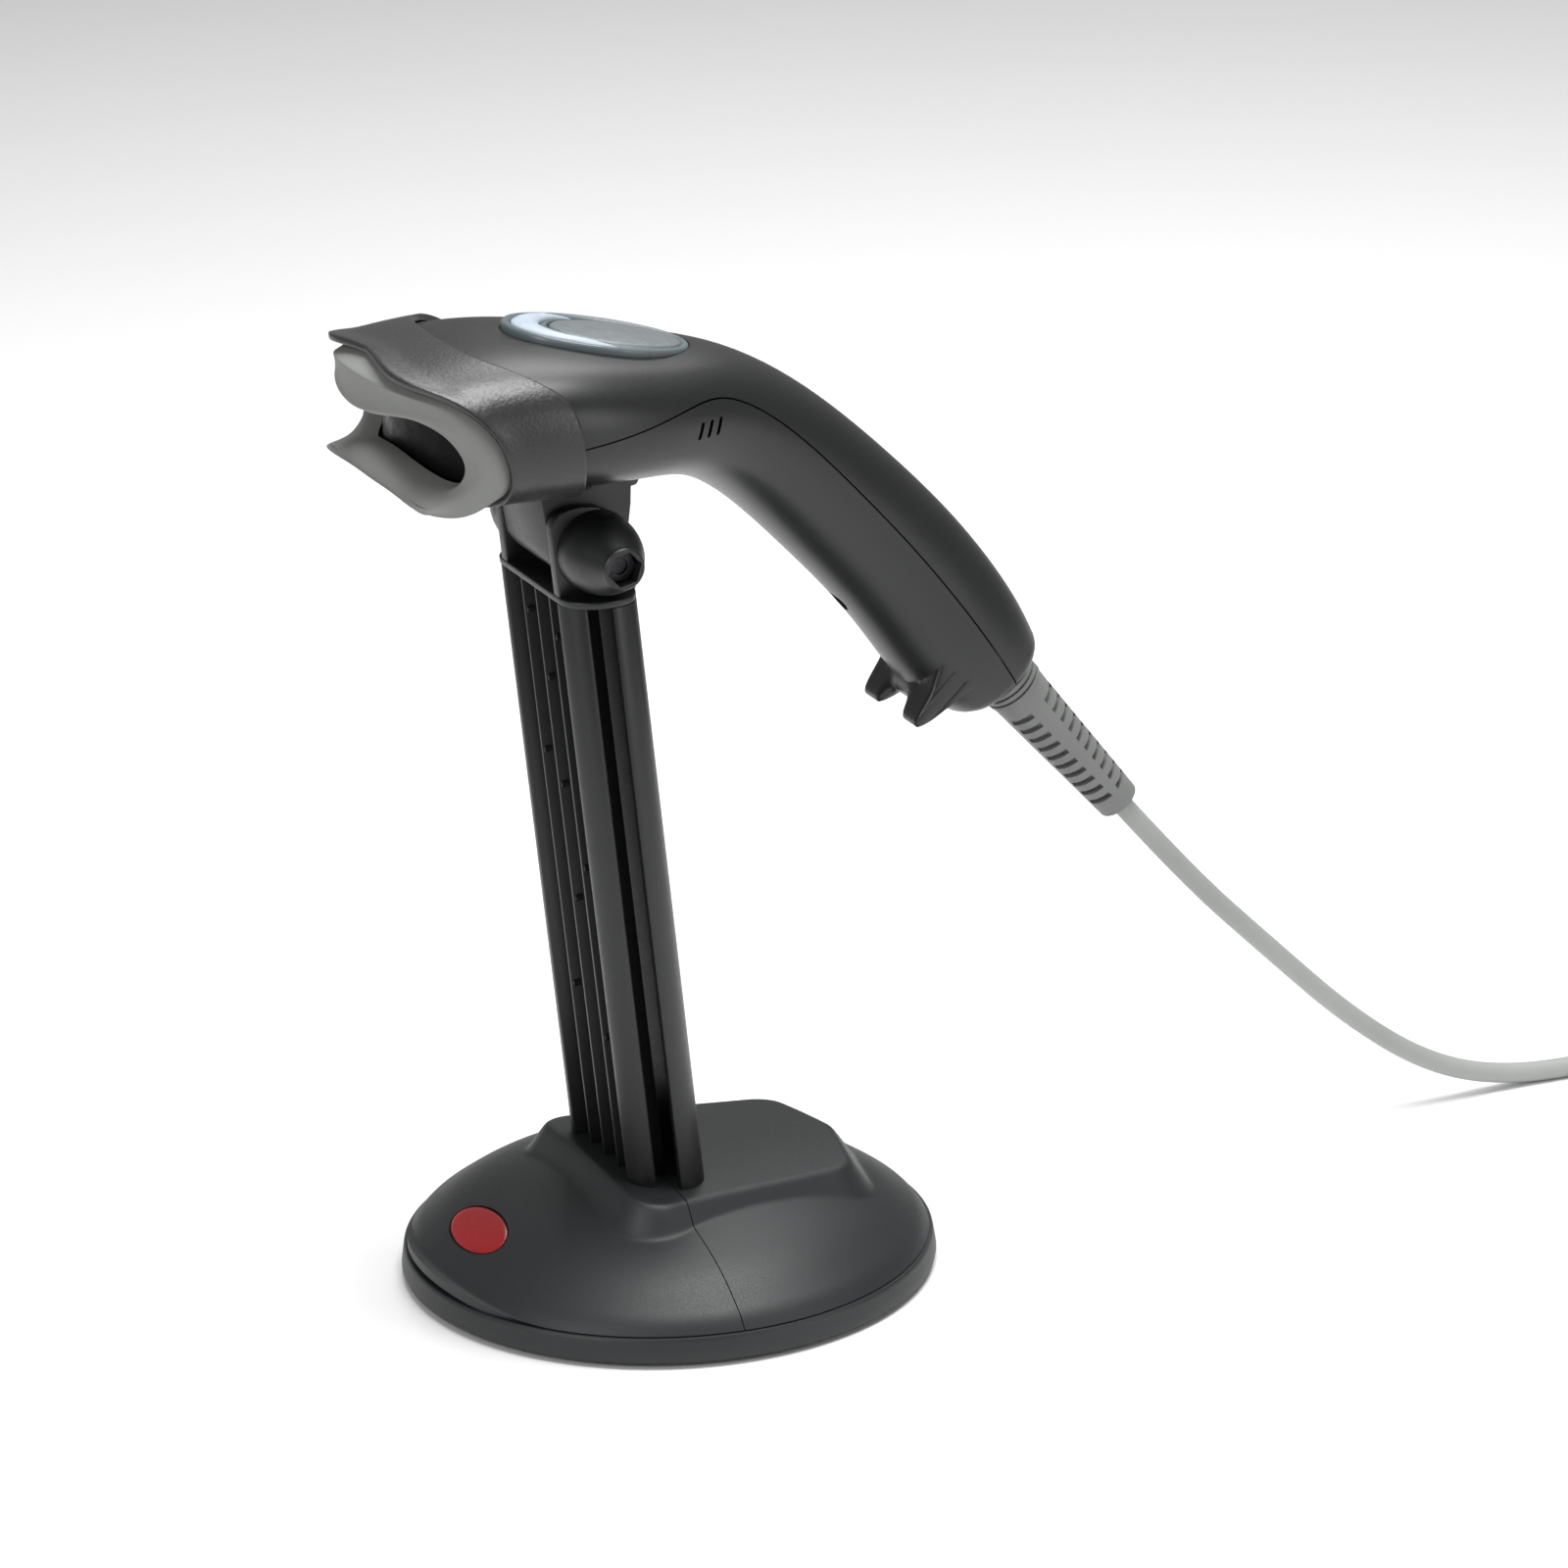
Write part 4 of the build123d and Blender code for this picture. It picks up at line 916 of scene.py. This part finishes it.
def make_crescent():
    """The light guide between the ring and the dome, widest at the front."""
    outer = oval(BUTTON_LENGTH - 4.4, BUTTON_WIDTH - 4.4, 0.0)
    inner = oval(DOME_LENGTH + 3.8, DOME_WIDTH + 3.8, 0.0, DOME_BACK - 0.6)
    turn = math.radians(BUTTON_PITCH)
    up = np.array([0, math.sin(turn), math.cos(turn)])
    kept = range(27, 70)      # the front part of the oval
    rows = []
    for t, lift in ((0, 0.3), (0, 0.95), (0.06, 1.3), (0.2, 1.75), (0.5, 1.95), (0.8, 1.75),
                    (0.94, 1.35), (1, 0.95), (1, 0.3)):
        row = []
        for order, j in enumerate(kept):
            ends = min(order, len(kept) - 1 - order) / 7
            fade = min(1.0, math.sqrt(max(ends, 0.0)) + 0.05)
            point = np.array(outer[j]) * (1 - t) + np.array(inner[j]) * t
            row.append(point + up * (0.3 + (lift - 0.3) * fade))
        rows.append(row)
    points = np.array(rows)
    count = points.shape[1]
    faces = grid_faces(len(rows), count)
    faces.append(tuple(i * count for i in range(len(rows))))
    faces.append(tuple(i * count + count - 1 for i in range(len(rows)))[::-1])
    crescent = mesh_object("light_crescent_guide", points.reshape(-1, 3), faces, "light_guide")
    outward(crescent)
    shade(crescent, 50)
    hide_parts("light_crescent")
    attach(crescent, "scanner")


# ---- pivot --------------------------------------------------------------------------
PIVOT = (-19.4, 181.7)
EAR_IN = 13.4
EAR_OUT = 16.6
DOME_TIP = 33.0
POCKET_DEPTH = 6.2
HEX_R = 3.5 / math.cos(math.pi / 6) + 0.05


def make_domes():
    profile = [(-0.4, 8.0), (-0.4, 9.3), (1.5, 9.3), (3.6, 9.2), (5.6, 8.9), (7.6, 8.4),
               (9.4, 7.8), (11.0, 7.1), (12.6, 6.35), (14.2, 5.6), (15.4, 5.05), (16.0, 4.85),
               (16.4, 4.45), (16.4, 0.01), (-0.4, 0.01)]
    for side, node in ((1, "pivot_dome_left"), (-1, "pivot_dome_right")):
        fine = Smooth(range(13), profile[:13])(np.linspace(1, 12, 45))
        line = [profile[0]] + [tuple(p) for p in fine] + profile[13:]
        dome = lathe("tilt_" + node, (side * EAR_OUT, *PIVOT), (side, 0, 0), line,
                     "post_plastic", 72)
        ring = [(PIVOT[0] + HEX_R * math.cos(math.radians(60 * k + 12)),
                 PIVOT[1] + HEX_R * math.sin(math.radians(60 * k + 12))) for k in range(6)]
        pocket = along_x(ring, side * (DOME_TIP - POCKET_DEPTH), side * (DOME_TIP + 3))
        cut(dome, [cutter(*pocket)])
        shade(dome, 35)
        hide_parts(node)
        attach(dome, "stand")


# ---- stand post ---------------------------------------------------------------------
POST_FOOT_Z = 22.0
POST_TOP_Z = 172.0
CAP_T = 1.7
POST_FRONT_Y = -15.9
POST_LEAN = math.tan(math.radians(4.9))
POST_HALF_X = 16.2
FRONT_DEPTH = 9.6
REAR_HALF_X = 24.5
POST_DEPTH = 18.2
FLANGE = [(-2.0, FRONT_DEPTH), (-0.6, FRONT_DEPTH), (-0.2, 3.4), (1.2, 3.8), (3.2, 4.9),
          (4.9, 4.9), (5.1, 4.2), (4.7, 2.9), (3.8, 1.7), (2.4, 0.75), (0.9, 0.1), (0, 0),
          (-0.9, 0), (-1.2, 0.5)]


def post_ring(outline, z):
    """A plan outline of (x, depth) at a height of the leaning post."""
    front = POST_FRONT_Y - (z - POST_FOOT_Z) * POST_LEAN
    return [(x, front + depth, z) for x, depth in outline]


def comb_outline():
    """The front moulding in plan: flanges, web and three ribs."""
    right = [(POST_HALF_X + x, y) for x, y in FLANGE]
    left = mirrored(right)
    floor = 8.0
    ribs = []
    for x in (-8.0, 0.0, 8.0):
        ribs += [(x - 0.95, floor), (x - 0.5, floor - 0.6), (x - 0.42, 1.0), (x + 0.42, 1.0),
                  (x + 0.5, floor - 0.6), (x + 0.95, floor)]
    inner_left = [(-POST_HALF_X + 1.7, floor)]
    inner_right = [(POST_HALF_X - 1.7, floor)]
    return right + inner_right + ribs[::-1] + inner_left + left


def rear_outline(inset):
    """The rounded rear moulding in plan, from its right front corner round to the left."""
    x0, y1 = REAR_HALF_X - inset, POST_DEPTH - inset
    xs = (x0, x0 + 0.3, x0 - 2.5, x0 - 9.0)
    ys = (FRONT_DEPTH, 13.0, y1, y1)
    curve = [(bezier(t, xs), bezier(t, ys)) for t in np.linspace(0, 1, 14)]
    return curve + mirrored(curve)


def make_post():
    top = POST_TOP_Z - CAP_T
    comb = comb_outline()
    front = prism("post_front_comb", post_ring(comb, POST_FOOT_Z), post_ring(comb, top),
                  "post_plastic", 0.18)
    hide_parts("post_front")
    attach(front, "stand")
    hollow = rear_outline(0) + rear_outline(2.0)[::-1]
    rear = prism("post_rear_back", post_ring(hollow, POST_FOOT_Z), post_ring(hollow, top),
                 "post_plastic", 0.3)
    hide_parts("post_rear")
    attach(rear, "stand")
    make_rib_nubs()
    make_cap()


def make_rib_nubs():
    """Ejector-pin pads half sunk in the ribs."""
    profile = [(0, 0.01), (0, 0.75), (0.2, 0.95), (1.8, 1.0), (1.8, 0.01)]
    pieces = []
    for x, z in ((-8, 162), (0, 148), (8, 160), (-8, 128), (0, 122), (8, 104), (0, 94),
                 (-8, 70), (8, 62)):
        front = POST_FRONT_Y - (z - POST_FOOT_Z) * POST_LEAN + 1.3
        pieces.append(lathe("nub", (x, front, z), (0, 1, POST_LEAN), profile, "post_plastic", 16))
    nubs = join(pieces, "post_rib_pads")
    shade(nubs, 40)
    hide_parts("post_front")
    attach(nubs, "stand")


def make_cap():
    """The cap plate over both mouldings, with an ear on each side of the holder's neck."""
    xs = (POST_HALF_X, 20.5, REAR_HALF_X + 0.2, REAR_HALF_X)
    ys = (0, 0, 4.0, FRONT_DEPTH)
    side = [(bezier(t, xs), bezier(t, ys)) for t in np.linspace(0, 1, 10)]
    plan = side + rear_outline(0)[1:-1] + mirrored(side)
    low, high = (post_ring(plan, z) for z in (POST_TOP_Z - CAP_T, POST_TOP_Z))
    plate = prism("post_cap_plate", low, high, "post_plastic", 0.35, 3)
    ear = [(-28.5, 171.2), (-29.9, 188.0), (-29.3, 190.0), (-27.6, 191.4), (-25.2, 192.0),
           (-22.5, 192.2), (-18.5, 191.6), (-15.5, 190.0), (-12.4, 187.4), (-10.6, 184.4),
           (-10.0, 181), (-9.9, 171.2)]
    pieces = [plate]
    for low, high in ((EAR_IN, EAR_OUT), (-EAR_OUT, -EAR_IN)):
        pieces.append(prism("ear", *along_x(ear, low, high), "post_plastic", 0.4, 3))
    cap = join(pieces, "post_cap_ears")
    shade(cap, 35)
    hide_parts("post_cap")
    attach(cap, "stand")


# ---- stand base ---------------------------------------------------------------------
DOME_PROFILE = np.array([
    (0, 26.0), (18.0, 25.2), (33.0, 22.6), (43.0, 19.6), (51.0, 15.8), (56.6, 12.0), (59.6, 9.3),
    (60.9, 7.5),
])
PLATFORM_FRONT = (32.6, -20.8)
PLATFORM_BACK = (24.5, 38.0)
PLATFORM_END_Y = 43.0
PLATFORM_TOP = 29.4
PLATFORM_CORNER_R = 8.5
PLATFORM_FALL = math.tan(math.radians(3.7))
SEAM_Y = -8.0
SEAM_GAP = 0.12
COVER_R = 60.9
DOME_RADII = np.linspace(0, COVER_R, 200)
DOME_HEIGHTS = Smooth(DOME_PROFILE[:, 0], DOME_PROFILE[:, 1])(DOME_RADII)[:, 0]
BADGE_AT = (-47.9, 17.75)
BADGE_TILT = 27.0
BADGE_HALF_X = 11.8
BADGE_HALF_Y = 5.7
BADGE_RIM = 0.5           # the recess round the badge is this much wider
BADGE_FLOOR = -1.6
BADGE_POINTS = 64


def soft_above(x, soft):
    """x where it is positive and nothing elsewhere, with a soft bend between."""
    return soft * np.log1p(np.exp(np.clip(x / soft, -40, 40)))


def platform_distance(x, y):
    """How far inside the platform's outline a point is, negative outside it."""
    corners = np.array([(-PLATFORM_FRONT[0], PLATFORM_FRONT[1]), PLATFORM_FRONT, PLATFORM_BACK,
                        (0, PLATFORM_END_Y), (-PLATFORM_BACK[0], PLATFORM_BACK[1])])
    radius = PLATFORM_CORNER_R
    inside = np.full(np.shape(x), 1e9)
    outside = np.full(np.shape(x), 1e9)
    for a, b in zip(corners, np.roll(corners, -1, axis=0)):
        edge = (b - a) / np.linalg.norm(b - a)
        inside = np.minimum(inside, edge[0] * (y - a[1]) - edge[1] * (x - a[0]) - radius)
    # rounded corners: distance to the outline moved in by the radius
    shrunk = []
    count = len(corners)
    for i in range(count):
        before, here, after = corners[i - 1], corners[i], corners[(i + 1) % count]
        one = (here - before) / np.linalg.norm(here - before)
        two = (after - here) / np.linalg.norm(after - here)
        normal_one, normal_two = np.array([-one[1], one[0]]), np.array([-two[1], two[0]])
        middle = (normal_one + normal_two) / (1 + normal_one @ normal_two)
        shrunk.append(here + middle * radius)
    shrunk = np.array(shrunk)
    for a, b in zip(shrunk, np.roll(shrunk, -1, axis=0)):
        run, off_x, off_y = b - a, x - a[0], y - a[1]
        along = np.clip((off_x * run[0] + off_y * run[1]) / (run @ run), 0, 1)
        outside = np.minimum(outside, np.hypot(off_x - along * run[0], off_y - along * run[1]))
    return np.where(inside > 0, inside + radius, radius - outside)


def cover_height(x, y):
    dome = np.interp(np.hypot(x, y), DOME_RADII, DOME_HEIGHTS)
    top = PLATFORM_TOP - PLATFORM_FALL * (y + 14) - 1.8 * (x / 32.0) ** 2
    flank = top + 1.45 * platform_distance(x, y) - 1.2
    raised = top - soft_above(top - flank, 0.55)
    return dome + soft_above(raised - dome, 0.35)


def make_covers():
    radii = np.concatenate([np.linspace(0.4, 58.5, 150), np.linspace(58.8, COVER_R, 8)])
    turns = np.linspace(0, 2 * math.pi, 288, endpoint=False)
    grid_r, grid_t = np.meshgrid(radii, turns, indexing="ij")
    x, y = grid_r * np.cos(grid_t), grid_r * np.sin(grid_t)
    z = cover_height(x, y)
    points = np.stack([x, y, z], -1).reshape(-1, 3)
    faces = grid_faces(len(radii), len(turns), wrap_columns=True)
    faces.append(tuple(range(len(turns))))
    for name, node, keep_front in (("cover_front", "base_cover_front", True),
                                   ("cover_rear", "base_cover_rear", False)):
        cover = mesh_object(name, points, faces, "base_plastic")
        work = bmesh.new()
        work.from_mesh(cover.data)
        plane_y = SEAM_Y + (-SEAM_GAP if keep_front else SEAM_GAP)
        bmesh.ops.bisect_plane(work, geom=work.verts[:] + work.edges[:] + work.faces[:],
                               plane_co=(0, plane_y * MM, 0), plane_no=(0, 1, 0),
                               clear_outer=keep_front, clear_inner=not keep_front)
        work.to_mesh(cover.data)
        work.free()
        outward(cover)
        if sum(p.normal.z for p in cover.data.polygons) < 0:
            cover.data.flip_normals()
        thicken(cover, 2.0)
        if keep_front:
            rim_x, rim_y = BADGE_HALF_X + BADGE_RIM, BADGE_HALF_Y + BADGE_RIM
            cut(cover, [cutter(*(badge_ring(rim_x, rim_y, lift) for lift in (BADGE_FLOOR, 6.0)))])
        shade(cover, 40)
        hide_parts(node)
        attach(cover, "stand")
    make_badge()


def badge_point(right, up, lift):
    turn = math.radians(BADGE_TILT)
    return (right, BADGE_AT[0] + up * math.cos(turn) - lift * math.sin(turn),
            BADGE_AT[1] + up * math.sin(turn) + lift * math.cos(turn))


def badge_ring(half_x, half_y, lift):
    return [badge_point(half_x * math.cos(a), half_y * math.sin(a), lift)
            for a in ring_angles(BADGE_POINTS)]


def make_badge():
    rings = [badge_ring(BADGE_HALF_X * scale, BADGE_HALF_Y * scale, lift) for scale, lift in (
        (1.0, BADGE_FLOOR), (1.0, -0.9), (0.97, -0.74), (0.9, -0.6), (0.75, -0.46),
        (0.55, -0.36), (0.3, -0.3), (0.08, -0.28))]
    faces = grid_faces(len(rings), BADGE_POINTS, wrap_columns=True)
    faces += [end_cap(len(rings), BADGE_POINTS), tuple(range(BADGE_POINTS))]
    badge = mesh_object("badge_button", [p for ring in rings for p in ring], faces, "badge_red")
    outward(badge)
    shade(badge, 50)
    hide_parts("badge")
    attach(badge, "stand")


def make_base_plate():
    """The base's rim, with a rounded foot and a small step under the covers."""
    profile = [(0.8, 46.3), (0.8, 60.6), (1.0, 61.6), (1.5, 62.2), (2.4, 62.45), (4.2, 62.2),
               (6.2, 61.9), (6.9, 61.75), (7.2, 61.45), (7.2, 59.0), (3.2, 59.0), (3.2, 1.0),
               (1.6, 1.0), (1.6, 46.3)]
    plate = lathe("base_rim_plate", (0, 0, 0), (0, 0, 1), profile, "base_plastic", 200)
    shade(plate, 40)
    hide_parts("base_plate")
    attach(plate, "stand")


# ---- cord -----------------------------------------------------------------------
CORD_D = 5.0
FLOOR = CORD_D / 2
COIL_AT = (-26.0, 316.0)
COIL_MID_R = 28.0
TURN_STEP = 5.15
POINTS_PER_TURN = 18
RELIEF_END = (118.77, 93.63)
CABLE_WAY = (0.63608, -0.77162)

# Route from the strain relief down to the table: x, y, z in millimetres.
ROUTE = [
    (0, *RELIEF_END),
    (0, RELIEF_END[0] + 30 * CABLE_WAY[0], RELIEF_END[1] + 30 * CABLE_WAY[1]),
    (0.6, 158.5, 49.5),
    (0.2, 181.0, 27.0),
    (1.4, 203.0, 10.5),
    (0.8, 226.0, FLOOR),
    (3.2, 254.0, FLOOR),
    (2.0, 290.0, FLOOR),
]
# Each turn's place in the bundle: steps out from the middle, and layers up.
TURNS = [(0, 0), (-1, 0), (-1, 1), (-1, 2), (0, 2), (0, 1), (1, 2), (1, 1), (1, 0)]
TAIL = [(6.9, 334.0, FLOOR), (5.2, 349.0, FLOOR + 0.3), (4.0, 363.0, 4.5)]


def coil_points():
    points = []
    steps = POINTS_PER_TURN * len(TURNS)
    for step in range(steps + 1):
        place = step / POINTS_PER_TURN
        index = min(int(place), len(TURNS) - 1)
        after = TURNS[min(index + 1, len(TURNS) - 1)]
        here = TURNS[index]
        part = place - index
        slide = max(0.0, (part - 0.55) / 0.45)
        slide = slide * slide * (3 - 2 * slide)
        out = here[0] + (after[0] - here[0]) * slide
        layer = here[1] + (after[1] - here[1]) * slide
        radius = COIL_MID_R + TURN_STEP * out
        angle = 2 * math.pi * place
        points.append((COIL_AT[0] + radius * math.cos(angle),
                       COIL_AT[1] + radius * math.sin(angle),
                       FLOOR + TURN_STEP * 0.98 * layer))
    return points


def nurbs_curve(name, points, bevel):
    curve = bpy.data.curves.new(name, "CURVE")
    curve.dimensions = "3D"
    spline = curve.splines.new("NURBS")
    spline.points.add(len(points) - 1)
    for place, point in zip(spline.points, points):
        place.co = (*(c * MM for c in point), 1)
    spline.order_u = 3
    spline.use_endpoint_u = True
    spline.resolution_u = 8
    curve.bevel_depth = bevel
    curve.bevel_resolution = 5
    curve.use_fill_caps = bevel > 0
    return bpy.data.objects.new(name, curve)


def curve_mesh(curve_object):
    bpy.context.scene.collection.objects.link(curve_object)
    bpy.context.view_layer.update()
    evaluated = curve_object.evaluated_get(bpy.context.evaluated_depsgraph_get())
    mesh = bpy.data.meshes.new_from_object(evaluated)
    bpy.data.objects.remove(curve_object)
    return mesh


def make_cord():
    points = ROUTE + coil_points() + TAIL
    line = curve_mesh(nurbs_curve("cord_line", points, 0.0))
    tube = curve_mesh(nurbs_curve("cord_tube", points, CORD_D / 2 * MM))
    cable = bpy.data.objects.new("cord_cable", tube)
    bpy.context.scene.collection.objects.link(cable)
    for polygon in tube.polygons:
        polygon.use_smooth = True
    tube.materials.clear()
    tube.materials.append(MATERIALS["cord_grey"])
    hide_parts("cord", "cord_coil", "cord_tail")
    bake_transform(cable)


# ---- stage and light --------------------------------------------------------------
def area_light(name, place, target, size, power):
    data = bpy.data.lights.new(name, "AREA")
    data.shape = "RECTANGLE"
    data.size, data.size_y = size
    data.energy = power
    light = bpy.data.objects.new(name, data)
    light.location = place
    light.rotation_euler = (Vector(target) - Vector(place)).to_track_quat("-Z", "Y").to_euler()
    bpy.context.scene.collection.objects.link(light)


def make_stage():
    material, tree, shader = new_material("stage_paper")
    tint(tree, shader, noise(tree, 6.0), (0.86, 0.86, 0.86), (0.88, 0.88, 0.88))
    shader.inputs["Roughness"].default_value = 0.9
    mesh = bpy.data.meshes.new("stage_floor")
    half = 6.0
    corners = [(-half, -half, 0), (half, -half, 0), (half, half, 0), (-half, half, 0)]
    mesh.from_pydata(corners, [], [(0, 1, 2, 3)])
    floor = bpy.data.objects.new("stage_floor", mesh)
    mesh.materials.append(material)
    bpy.context.scene.collection.objects.link(floor)
    world = bpy.data.worlds.new("studio")
    world.use_nodes = True
    world.node_tree.nodes["Background"].inputs["Color"].default_value = (1, 1, 1, 1)
    world.node_tree.nodes["Background"].inputs["Strength"].default_value = 0.27
    bpy.context.scene.world = world
    bpy.context.scene.view_settings.view_transform = "Standard"


def make_lights():
    middle = (0, 0.02, 0.13)
    area_light("key_top", (0.05, 0.15, 1.25), middle, (0.7, 0.7), 20)
    area_light("side_left", (0.55, -1.1, 0.75), middle, (0.5, 0.7), 6)
    area_light("side_right", (1.1, 0.75, 0.45), middle, (0.4, 0.7), 3)
    area_light("rim_back", (-0.7, 0.5, 1.1), middle, (0.5, 0.5), 4)


add_camera()
make_stage()
make_lights()
finish_cad_nodes()
make_cord()
make_shells()
make_cup()
make_bumper()
make_button()
make_domes()
make_post()
make_covers()
make_base_plate()
